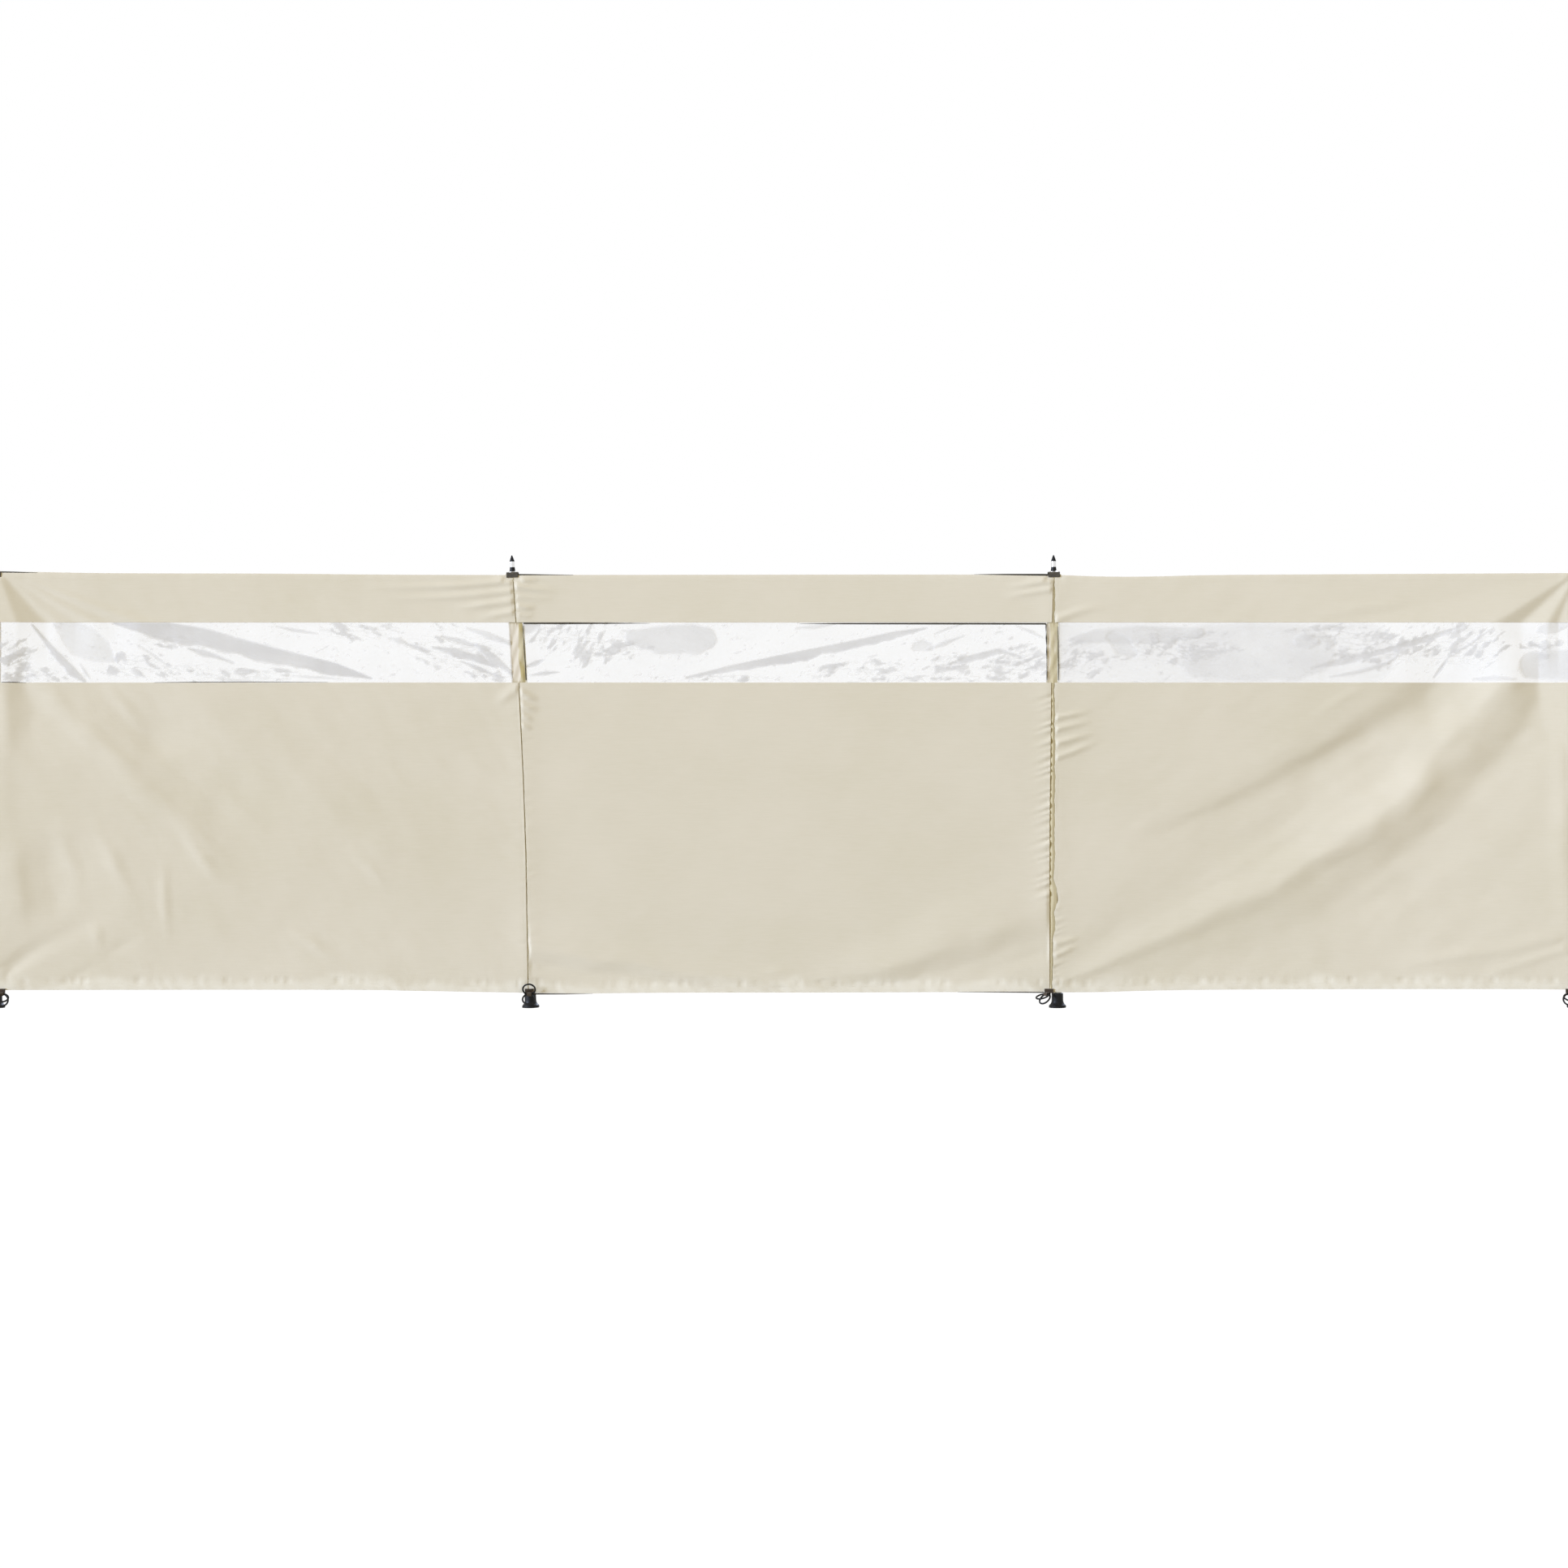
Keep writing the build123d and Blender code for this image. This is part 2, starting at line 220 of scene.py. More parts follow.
TOP_EDGE = (
    (-12, 704), (60, 705), (140, 706.5), (330, 706.5), (460, 708), (630, 708.5), (1290, 707.5), (1350, 710.5),
    (1420, 710.5), (1480, 708.5), (1640, 707.5), (1950, 706),
)
HEM_EDGE = (
    (-12, 1220), (196, 1219.5), (452, 1219.5), (516, 1221), (640, 1223), (708, 1224.5), (800, 1223),
    (1028, 1223), (1240, 1222), (1348, 1223), (1412, 1220.5), (1540, 1219), (1860, 1218.5), (1950, 1219.5),
)


def hung(x, z):
    """Heights on the cloth as it hangs, from those on cloth with straight edges."""
    lie = z
    for edge, straight, window in ((TOP_EDGE, CLOTH_TOP, WINDOW_TOP), (HEM_EDGE, HEM_Z, WINDOW_BOTTOM)):
        columns, heights = rounded(spots(edge)).T
        share = smoothstep((z - window) / (straight - window))
        lie = lie + np.interp(x, columns, heights - straight) * share
    return lie


# Seams between the bays, as photograph points on the left bay's edge; and how far each gapes to the right at
# some rows, in pixels

SEAM_POINTS = {
    "left_inner": (
        (631.5, 708), (635.4, 767), (639.2, 838), (639.6, 858), (644.5, 960), (647.5, 1050), (650.5, 1223),
    ),
    "right_inner": (
        (1298, 708), (1296.3, 767), (1295.4, 841), (1294.6, 920), (1293.4, 1010), (1293.2, 1100),
        (1293.4, 1223),
    ),
}
SEAM_GAPES = {
    "left_inner": ((708, 1.2), (841, 1.2), (1050, 1.3), (1158, 1.3), (1172, 2.2), (1186, 1.4), (1223, 1.2)),
    "right_inner": (
        (708, 2.2), (767, 3.5), (850, 4.2), (960, 6.2), (1060, 6.6), (1085, 5.5), (1096, 9), (1108, 10.5),
        (1118, 8.5), (1126, 5.5), (1136, 7.5), (1146, 6.5), (1156, 4.5), (1180, 4), (1223, 3.5),
    ),
}
SEAM_RIPPLE = ((61, 0, 0, 1), (143, 0, 1.7, 1), (317, 0, 0.4, 0.6))
SEAM_WANDER = {"left_inner": 0.25 * MM, "right_inner": 0.8 * MM}
END_WRAP = 14.4 * MM
END_WRAP_RADIUS = 15.2 * MM
# How far each sleeve's strip reaches to the left and right of its seam
STRIP_SIDES = {pole: (-SLEEVE_RADIUS, SLEEVE_RADIUS) for pole in POLES}
STRIP_SIDES["left_inner"] = (-9 * PIXEL, 10.2 * PIXEL)
STRIP_SIDES["right_inner"] = (-6.5 * PIXEL, 9.4 * PIXEL)


def seam_x(pole, z):
    """The left side of the seam in front of an inner pole, or the centreline of an end pole."""
    if pole not in SEAM_POINTS:
        return pole_x(pole, z)
    line = spots(SEAM_POINTS[pole])[::-1]
    return np.interp(z, line[:, 1], line[:, 0])


def seam_gape(pole, z):
    """How far the two edges of cloth stand apart at a seam."""
    rows, gapes = np.array(SEAM_GAPES[pole], float)[::-1].T
    return np.interp(z, row_z(rows), gapes) * PIXEL + SEAM_WANDER[pole] * ripple(SEAM_RIPPLE, z)


def bay_edges(bay, z):
    """The left and right edges of a bay's cloth at a height."""
    left, right = POLES[bay], POLES[bay + 1]
    from_left = seam_gape(left, z) if left in SEAM_POINTS else -END_WRAP
    from_right = 0.0 if right in SEAM_POINTS else END_WRAP
    return seam_x(left, z) + from_left, seam_x(right, z) + from_right


# Folds of the cloth. Each has the points of its line in the photograph; its section, as offsets from the line
# in pixels, plus to the left of the way the points run, with heights in millimetres; how high it is at even
# steps along the line, as shares; and how wide, where that isn't one


def hump(left, height, right):
    """A section that rises to a height on the line, or falls to it, and comes back on both sides."""
    return ((left, 0), (0, height), (-right, 0))


RIDGE, PLEAT = hump(10, 2.6, 13), hump(6, 4.6, 5)
FADING, SWELLING, LENS = (1, 0.8, 0), (0, 0.8, 1), (0, 1, 0)
MAIN_CREST = (
    (1299, 1214), (1376, 1184), (1461, 1144), (1525, 1114), (1581, 1088), (1624, 1056), (1660, 1030),
    (1701, 1006), (1740, 976), (1769, 938), (1804, 900), (1829, 866), (1850, 836),
)
FOLDS = {}
FOLDS["left_bay"] = (
    (
        ((50, 836), (121, 905), (165, 950), (205, 990), (240, 1020), (285, 1070), (310, 1100)),
        ((130, 0), (46, -4.4), (12, -0.4), (0, 2.6), (-10, 2.6), (-30, 0)),
        (0.9, 1.4, 1.5, 1.1, 0.6, 0),
        (0.8, 1),
    ),
    (
        ((17, 950), (14, 900), (11, 838)),
        ((40, 0), (16, -0.4), (0, 1.8), (-8, -0.6), (-26, -6), (-90, 0)),
        (0, 1, 1.3),
    ),
    (((28, 1160), (24, 1100), (18, 1030)), ((40, 0), (0, 2.6), (-14, -1), (-40, -5), (-120, 0)), (0, 1, 1, 0)),
    (((9, 1190), (8, 1000), (6, 840)), hump(16, 1.1, 14), (0, 1, 1, 1)),
    (((-8, 1211), (36, 1178), (80, 1158), (130, 1132)), hump(18, -4, 14), (1, 1, 0.7, 0), (0.6, 1, 1)),
    (((66, 1218), (104, 1200), (130, 1190)), hump(8, -2, 8), LENS),
    (((126, 1190), (150, 1170), (176, 1156)), hump(9, -2, 9), LENS),
    (((126, 842), (160, 880), (186, 904)), hump(10, 2.4, 12), LENS),
    (((112, 1010), (142, 1066), (172, 1126)), RIDGE, LENS),
    (((200, 1060), (202, 1110), (208, 1168)), RIDGE, LENS, 0.7),
    (((222, 1028), (250, 1060), (276, 1092)), RIDGE, LENS, 0.9),
    (((72, 1000), (88, 1060), (96, 1130)), RIDGE, LENS, 1.2),
    (((116, 1134), (120, 1154), (124, 1176)), RIDGE, LENS, 0.8),
    (((212, 850), (300, 900), (420, 1010), (560, 1150)), hump(50, 3, 50), LENS),
    (((430, 1040), (452, 1066), (480, 1104)), RIDGE, LENS, 0.9),
    (((356, 1150), (388, 1166), (420, 1188)), RIDGE, LENS, 0.8),
    (((448, 724), (540, 722), (634, 716)), PLEAT, SWELLING),
    (((470, 738), (560, 734), (634, 728)), PLEAT, SWELLING),
    (((560, 750), (600, 745), (636, 741)), PLEAT, SWELLING),
    (((586, 764), (612, 757), (637, 752)), PLEAT, SWELLING),
    (((610, 868), (625, 854), (640, 846)), PLEAT, SWELLING, 1.4),
)
FOLDS["centre_bay"] = (
    (
        ((646, 1178), (729, 1186), (819, 1202), (890, 1210), (952, 1215)),
        ((40, 0), (8, 3.4), (-10, -2.6), (-40, 0)),
        (0.7, 1, 0.9, 0.7, 0.4),
        (1, 0.8, 0.7),
    ),
    (((928, 1202), (952, 1196), (980, 1200)), hump(5, 2, 7), LENS),
    (
        ((1030, 1204), (1100, 1190), (1150, 1172), (1200, 1154), (1298, 1126)),
        ((84, 0), (50, 0.6), (10, 6), (0, 6.2), (-27, -2.4), (-64, 0)),
        (0.3, 0.8, 1, 0.8, 0.25),
        (0.6, 1, 1),
    ),
    (((1180, 1216), (1236, 1192), (1292, 1172)), hump(10, -2, 12), SWELLING),
    (((1242, 722), (1270, 718), (1296, 714)), PLEAT, SWELLING),
    (((1236, 736), (1264, 731), (1297, 726)), PLEAT, SWELLING),
    (((637, 713), (648, 715), (664, 715)), PLEAT, FADING, 0.7),
    (((638, 722), (660, 726), (690, 728)), PLEAT, FADING),
    (((639, 746), (648, 748), (660, 748)), PLEAT, FADING, 0.8),
    (((640, 758), (648, 759), (658, 758)), PLEAT, FADING, 0.7),
    (((643, 880), (650, 884), (658, 886)), PLEAT, FADING, 0.8),
    (((643, 893), (650, 896), (656, 898)), PLEAT, FADING, 0.7),
    (((640, 734), (664, 737), (684, 736)), PLEAT, FADING),
    (((640, 852), (652, 858), (664, 862)), PLEAT, FADING),
    (((641, 866), (652, 871), (664, 874)), PLEAT, FADING),
)
FOLDS["right_bay"] = (
    (
        MAIN_CREST,
        ((120, 0), (60, -3), (36, -1.6), (0, 4.8), (-8, 3.6), (-24, -1.4), (-60, -4.8), (-80, -5), (-220, 0)),
        (0.15, 0.6, 0.9, 1, 0.8, 0.3, 0),
        (0.2, 0.7, 0.95, 1, 1.1, 1.2),
    ),
    (
        MAIN_CREST,
        ((130, 0), (60, 0.5), (36, 3), (0, 11.2), (-14, 9.4), (-30, 3.4), (-52, -4.8), (-60, -5.6), (-200, 0)),
        (0, 0, 0, 0.2, 0.7, 1.05, 1.15),
    ),
    (
        (
            (1390, 1040), (1431, 1024), (1495, 998), (1568, 960), (1645, 917), (1700, 880), (1752, 843),
            (1775, 828),
        ),
        ((34, 0), (10, -1.6), (-10, -8), (-22, -8.4), (-140, 0)),
        (0, 0.5, 0.85, 1.1, 1.4, 1.9),
        (0.5, 0.6, 0.8, 1, 1.2),
    ),
    (((1616, 882), (1650, 862), (1684, 844)), hump(8, 1.6, 8), LENS),
    (((1930, 1150), (1928, 1000), (1926, 842)), hump(20, 2.2, 10), (0.5, 1, 1, 0.8)),
    (((1700, 1200), (1810, 1184), (1912, 1164)), hump(14, 3, 7), (0, 1, 1)),
    (((1800, 1218), (1866, 1196), (1926, 1174)), hump(9, 2.6, 7), (0, 1, 1)),
    (((1300, 885), (1320, 881), (1342, 876)), PLEAT, FADING, 0.8),
    (((1300, 899), (1322, 894), (1346, 888)), PLEAT, FADING, 0.8),
    (((1300, 916), (1324, 910), (1350, 903)), PLEAT, FADING, 0.9),
    (((1300, 934), (1326, 925), (1352, 914)), PLEAT, FADING, 0.9),
    (((1302, 1164), (1316, 1160), (1330, 1156)), PLEAT, FADING, 0.8),
    (((1302, 1178), (1316, 1172), (1328, 1166)), PLEAT, FADING, 0.8),
    (((1600, 764), (1680, 750), (1760, 738)), hump(8, 2, 9), LENS),
    (((1304, 764), (1330, 754), (1362, 746)), PLEAT, FADING, 1.2),
)
FOLD_SOFTNESS = 4.0  # pixels, over which the section is rounded
NARROW_SOFTNESS = 0.13  # of a narrow fold's width
SOFT_REACH = 4
FOLD_WANDER = 14.0  # pixels, by which a fold strays from its line
NARROW_WANDER = 0.3  # of a narrow fold's width
FOLD_GRAIN = (110, 70)
FOLD_UNEVENNESS = 0.7
FOLD_HOLD = 8 * MM  # from a seam, over which the folds die out

# Fans of folds out of a corner: the corner, the way along the run to the cloth, and angles in degrees below
# level with how far the cloth stands forward there, as a share of the distance from the corner

FANS = {
    "left_bay": (
        (-4, 703),
        1,
        (
            (17, 0), (20, 0.012), (24, -0.003), (28, 0.01), (33, -0.003), (41, 0.004), (46, -0.006), (48, 0),
            (68, 0.098), (80, 0.112), (100, 0.118), (140, 0.12),
        ),
    ),
    "right_bay": (
        (1946, 704),
        -1,
        ((12, 0), (31.5, 0.02), (41.8, -0.026), (58.3, 0.006), (71.6, -0.04), (90, -0.016), (140, -0.016)),
    ),
}
FAN_STEP = 0.2  # degrees
FAN_SOFTNESS = 4  # steps
FAN_MARGIN = 12
FAN_TURN = 180.0


def fold(x, z, points, section, heights, widths=1):
    """How far one fold stands forward at each place."""
    path = rounded(spots(points))
    offsets, lifts = np.array(section[::-1], float).T
    span = offsets[-1] - offsets[0]
    softness = min(FOLD_SOFTNESS, NARROW_SOFTNESS * span)
    margin = math.ceil(SOFT_REACH * softness)
    table = np.arange(offsets[0] - margin, offsets[-1] + margin + 1)
    soft = softened(table, offsets, lifts, softness, margin)
    reach = max(-table[0], table[-1]) * np.max(widths) * PIXEL
    own_panel = (z > WINDOW_MIDDLE) == (path[:, 1].mean() > WINDOW_MIDDLE)
    near = own_panel & near_line(x, z, path, reach)
    lift, x, z = np.zeros(x.shape), x[near], z[near]
    distance, side, share = along_line(x, z, path)
    seed = int(abs(points[0][0]))
    wander = strays(x, z, min(FOLD_WANDER, NARROW_WANDER * span), seed, FOLD_GRAIN)
    depth = 1 + strays(x, z, FOLD_UNEVENNESS, seed + 1, FOLD_GRAIN)
    offset = np.sign(side) * distance / PIXEL / even_shares(widths, share) + wander
    lift[near] = np.interp(offset, table, soft) * depth * even_shares(heights, share) * MM
    return lift


def fan(x, z, corner, way, section):
    """How far the folds out of a corner stand forward at each place."""
    cx, cz = spots([corner])[0]
    distance, angle = np.hypot(x - cx, z - cz), np.degrees(np.arctan2(cz - z, way * (x - cx)))
    degrees, shares = np.array(section, float).T
    table = np.arange(0.0, FAN_TURN, FAN_STEP)
    soft = softened(table, degrees, shares, FAN_SOFTNESS, FAN_MARGIN)
    fade = smoothstep((z - WINDOW_BOTTOM) / (WINDOW_TOP - WINDOW_BOTTOM))
    return distance * np.interp(angle, table, soft) * fade


# Puckers where cloth is gathered by its stitching, and what holds the cloth flat

SEAM_PUCKERS = {  # for each inner pole and side: spacing, depth and reach in millimetres, slant, and rows
    ("left_inner", -1): (34, 0.5, 26, 0.3, (708, 1223)),
    ("left_inner", 1): (36, 0.6, 30, -0.3, (708, 1223)),
    ("right_inner", -1): (23, 3.2, 27, 0.35, (850, 1110)),
    ("right_inner", 1): (20, 1.8, 22, -0.4, (1110, 1223)),
}
PUCKER_HOLD = 26 * MM  # over which a run of puckers comes and goes
PUCKER_RIPPLE = ((0.37, 0, 0.6, 1.1), (0.153, 0, 2, 0.7))
PUCKER_FALL = 1.5
PUCKER_CHANGE = 0.21
HEM_PUCKER = (46 * MM, 1.0 * MM, 22 * MM)  # spacing, depth and reach
HEM_PUCKER_SLANT = 0.5
HEM_PUCKER_LEAST = 0.4
HEM_PUCKER_CHANGE = 5.3
TOP_PUCKER_SLANT = 0.2
TOP_PUCKER_SHARE = 0.25
DIMPLE_SPACING = 36 * MM
DIMPLE_DEPTH = 3.0 * MM
DIMPLE_UP = 26 * MM
DIMPLE_HEIGHT = 10 * MM
DIMPLE_RIPPLE = ((0.31, 0, 0.4, 1.3), (0.117, 0, 1.1, 0.9))
DIMPLE_SHARPNESS = 3
DIMPLE_CHANGE = 0.19
POLE_SWELL = 1.2 * MM
POLE_SWELL_WIDTH = 38 * MM
HEM_ROLL = 0.8 * MM
HEM_ROLL_WIDTH = 4 * MM
SLACK = 0.12 * MM
SLACK_RIPPLE = ((9.1, 4.3, 0, 1), (5.7, -11.9, 1, 1), (21, 13, 2.2, 1), (43, -29, 0, 0.5), (17, 71, 0, 0.4))
WRINKLES = {  # their way in degrees, and depth in millimetres
    "left_bay": (-48, 1.1),
    "centre_bay": (-10, 0.5),
    "right_bay": (32, 0.9),
}
WRINKLE_GRAIN = (60, 24)
WRINKLE_SEED = 81
PATCH_GRAIN = (240, 160)
PATCH_SEED = 91
PATCHES = (1.6, 0.2)  # contrast and floor
TAB_HOLD = 16 * MM  # round sewn-on webbing, over which the cloth lies flat
TAB_PRESS = 0.4 * MM
SLEEVE_ROOM = 0.8 * MM  # between the cloth and the sleeve behind it
SLEEVE_MARGIN = 6 * MM
SLEEVE_FALL = 0.10


def puckers(along, away, spacing, depth, reach, slant):
    """Short gathers that run out from a line of stitching."""
    turn = math.tau * (along + slant * away) / spacing
    turn = turn + ripple(PUCKER_RIPPLE, turn)
    fall = np.exp(-((np.maximum(away, 0.0) / reach) ** PUCKER_FALL))
    return depth * np.sin(turn) * fall * uneven(PUCKER_CHANGE * turn)


def dimples(x, above_hem):
    """Small hollows along the bottom hem, where its stitching draws the cloth in."""
    turn = math.tau * x / DIMPLE_SPACING
    turn = turn + ripple(DIMPLE_RIPPLE, turn)
    rise = bell((above_hem - DIMPLE_UP) / DIMPLE_HEIGHT)
    hollow = np.maximum(np.sin(turn), 0.0) ** DIMPLE_SHARPNESS
    return -DIMPLE_DEPTH * hollow * rise * uneven(DIMPLE_CHANGE * turn)


def slack(bay, x, z):
    """The faint unevenness of cloth that hangs taut."""
    way, depth = WRINKLES[BAYS[bay]]
    patches = blotches(x, z, *PATCHES, PATCH_SEED + bay, PATCH_GRAIN)
    wrinkle = patches * strays(x, z, depth * MM, WRINKLE_SEED + bay, WRINKLE_GRAIN, way)
    return wrinkle + SLACK * ripple(SLACK_RIPPLE, x, z)


def free_of_tabs(x, z):
    """Nought where webbing is sewn onto the cloth, and one away from it."""
    free = np.ones(x.shape)
    for node in [pole + tail for pole in POLES for tail in ("_top_tab", "_peg_tab")]:
        low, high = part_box(node)
        away = np.maximum(np.maximum(low.x - x, x - high.x), np.maximum(low.z - z, z - high.z))
        free = np.minimum(free, smoothstep(away / TAB_HOLD))
    return free


def relief(bay, x, z):
    """How far a bay's cloth stands forward of its flat front at each place."""
    name, both = BAYS[bay], POLES[bay : bay + 2]
    left, right = bay_edges(bay, z)
    inward = (x - left, right - x)
    lift = slack(bay, x, z)
    for one in FOLDS[name]:
        lift = lift + fold(x, z, *one)
    lift *= smoothstep(np.minimum(*inward) / FOLD_HOLD)
    if name in FANS:
        lift += fan(x, z, *FANS[name])
    for side, pole, away in zip((1, -1), both, inward):
        lift += POLE_SWELL * bell(away / POLE_SWELL_WIDTH)
        if (pole, side) in SEAM_PUCKERS:
            spacing, depth, reach, slant, rows = SEAM_PUCKERS[pole, side]
            top, bottom = row_z(rows[0]), row_z(rows[1])
            span = smoothstep((top - z) / PUCKER_HOLD) * smoothstep((z - bottom + PUCKER_HOLD) / PUCKER_HOLD)
            lift += span * puckers(z, away, spacing * MM, depth * MM, reach * MM, slant)
    above_hem, below_top = z - HEM_Z, CLOTH_TOP - z
    change = HEM_PUCKER_LEAST + (1 - HEM_PUCKER_LEAST) * uneven(HEM_PUCKER_CHANGE * x)
    lift += puckers(x, above_hem, *HEM_PUCKER, HEM_PUCKER_SLANT) * change + dimples(x, above_hem)
    lift += TOP_PUCKER_SHARE * puckers(x, below_top, *HEM_PUCKER, TOP_PUCKER_SLANT)
    for away in (above_hem, below_top):
        lift -= HEM_ROLL * bell(away / HEM_ROLL_WIDTH)
    free = free_of_tabs(x, z)
    lift = free * lift - (1 - free) * TAB_PRESS
    for pole in both:
        line, (low, high) = seam_x(pole, z), STRIP_SIDES[pole]
        beyond = np.maximum(np.maximum(line + low - x, x - line - high), 0.0)
        lift = np.maximum(lift, -SLEEVE_ROOM - SLEEVE_FALL * np.maximum(beyond - SLEEVE_MARGIN, 0.0))
    return lift


def cloth_y(bay, x, z):
    """The front of a bay's cloth at each place, turned back round the outsides of the end sleeves."""
    beyond = np.maximum(pole_x(POLES[0], z) - x, x - pole_x(POLES[-1], z))
    back = END_WRAP_RADIUS - np.sqrt(END_WRAP_RADIUS**2 - np.clip(beyond, 0.0, END_WRAP) ** 2)
    return CLOTH_FRONT + back - relief(bay, x, z)


def on_cloth(bay, x, z):
    """Points on the front of a bay's cloth, as it hangs."""
    return np.stack([x, cloth_y(bay, x, z), hung(x, z)], axis=-1)


# Meshes

CLOTH_THICKNESS = 0.7 * MM
HEM_THICKNESS = 1.1 * MM
HEM_WIDTH = 20 * MM
FINE_STEP = 4 * MM
COARSE_STEP = 9 * MM
ROW_STEP = 5 * MM
GRADED_REACH = 90 * MM
EDGE_STEP = 0.8 * MM


def graded(start, end):
    """Places between two edges: close together near both edges, wider in the middle."""
    places, at = [start, start + EDGE_STEP], start + EDGE_STEP
    half = (start + end) / 2
    while True:
        near = (at - start) / GRADED_REACH
        at += FINE_STEP + (COARSE_STEP - FINE_STEP) * float(smoothstep(near))
        if at > half - FINE_STEP / 2:
            break
        places.append(at)
    mirrored = [start + end - place for place in reversed(places)]
    return np.array(places + [half] + mirrored)


def laid_out(left, right, heights, shares):
    """Where a sheet's points lie along the run, at shares of its width, and their heights."""
    x = left[:, None] + (right - left)[:, None] * shares
    return x, np.repeat(heights[:, None], len(shares), axis=1)


def piece(name, vertices, faces, material, slot):
    """A new mesh piece of the object, smooth shaded, riding on the frame."""
    mesh = bpy.data.meshes.new(name)
    mesh.from_pydata(vertices, [], faces)
    mesh.polygons.foreach_set("use_smooth", [True] * len(mesh.polygons))
    mesh.materials.append(material)
    mesh.update()
    made = bpy.data.objects.new(name, mesh)
    bpy.context.scene.collection.objects.link(made)
    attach(made, BODY)
    return made


def shell(front, back, closed_round=False):
    """Vertices and faces of a thin closed shell between two grids of points."""
    rows, columns = front.shape[:2]
    index = np.arange(rows * columns).reshape(rows, columns)
    if closed_round:
        index = np.concatenate([index, index[:, :1]], axis=1)
    behind = index + rows * columns

    def quads(*corners):
        return np.stack([corner.ravel() for corner in corners], axis=1)

    faces = [
        quads(index[:-1, :-1], index[:-1, 1:], index[1:, 1:], index[1:, :-1]),
        quads(behind[:-1, :-1], behind[1:, :-1], behind[1:, 1:], behind[:-1, 1:]),
        quads(index[0, 1:], index[0, :-1], behind[0, :-1], behind[0, 1:]),
        quads(index[-1, :-1], index[-1, 1:], behind[-1, 1:], behind[-1, :-1]),
    ]
    if not closed_round:
        faces.append(quads(index[:-1, 0], index[1:, 0], behind[1:, 0], behind[:-1, 0]))
        faces.append(quads(index[1:, -1], index[:-1, -1], behind[:-1, -1], behind[1:, -1]))
    vertices = np.concatenate([front.reshape(-1, 3), back.reshape(-1, 3)])
    return vertices, np.concatenate(faces)


def thick(front, depth):
    """A shell of some depth behind its front."""
    back = front.copy()
    back[..., 1] += depth
    return shell(front, back)


def joined(*parts):
    """The vertices and faces of several meshes as one."""
    vertices, faces, count = [], [], 0
    for part_vertices, part_faces in parts:
        vertices.append(part_vertices)
        faces.append(np.asarray(part_faces) + count)
        count += len(part_vertices)
    return np.concatenate(vertices), np.concatenate(faces)


def attribute(made, name, *grids):
    """Stores numbers for a piece's material, from a grid for each of its shells, on their fronts and backs."""
    layer = made.data.attributes.new(name, "FLOAT", "POINT")
    values = np.concatenate([np.tile(np.ravel(grid), 2) for grid in grids])
    layer.data.foreach_set("value", values.astype(np.float32))


# Materials. A scale counts changes a metre along each axis

RIBS_AT_ONE = 20 / math.tau  # ribs a metre of a wave texture whose scale is one
RIB_DETAIL = 2
MIX_FACTOR, MIX_A, MIX_B, MIX_COLOUR = 0, 6, 7, 2  # sockets of a mix node for colours


def linear(red, green, blue):
    """A colour given as it shows on a screen, 0 to 255, for a shader."""
    shares = np.array([red, green, blue]) / 255
    values = np.where(shares <= 0.04045, shares / 12.92, ((shares + 0.055) / 1.055) ** 2.4)
    return (*values.tolist(), 1.0)


def put(tree, socket, value):
    """Sets a socket, or links another node's output to it."""
    if isinstance(value, bpy.types.NodeSocket):
        tree.links.new(value, socket)
    else:
        socket.default_value = value


def add(tree, kind, inputs, **settings):
    """A new node of a tree, with its settings, and its inputs by name or number."""
    node = tree.nodes.new("ShaderNode" + kind)
    for name, value in settings.items():
        setattr(node, name, value)
    for socket, value in inputs.items():
        put(tree, node.inputs[socket], value)
    return node


def maths(tree, operation, a, b):
    """A sum of two numbers or outputs."""
    return add(tree, "Math", {0: a, 1: b}, operation=operation).outputs["Value"]


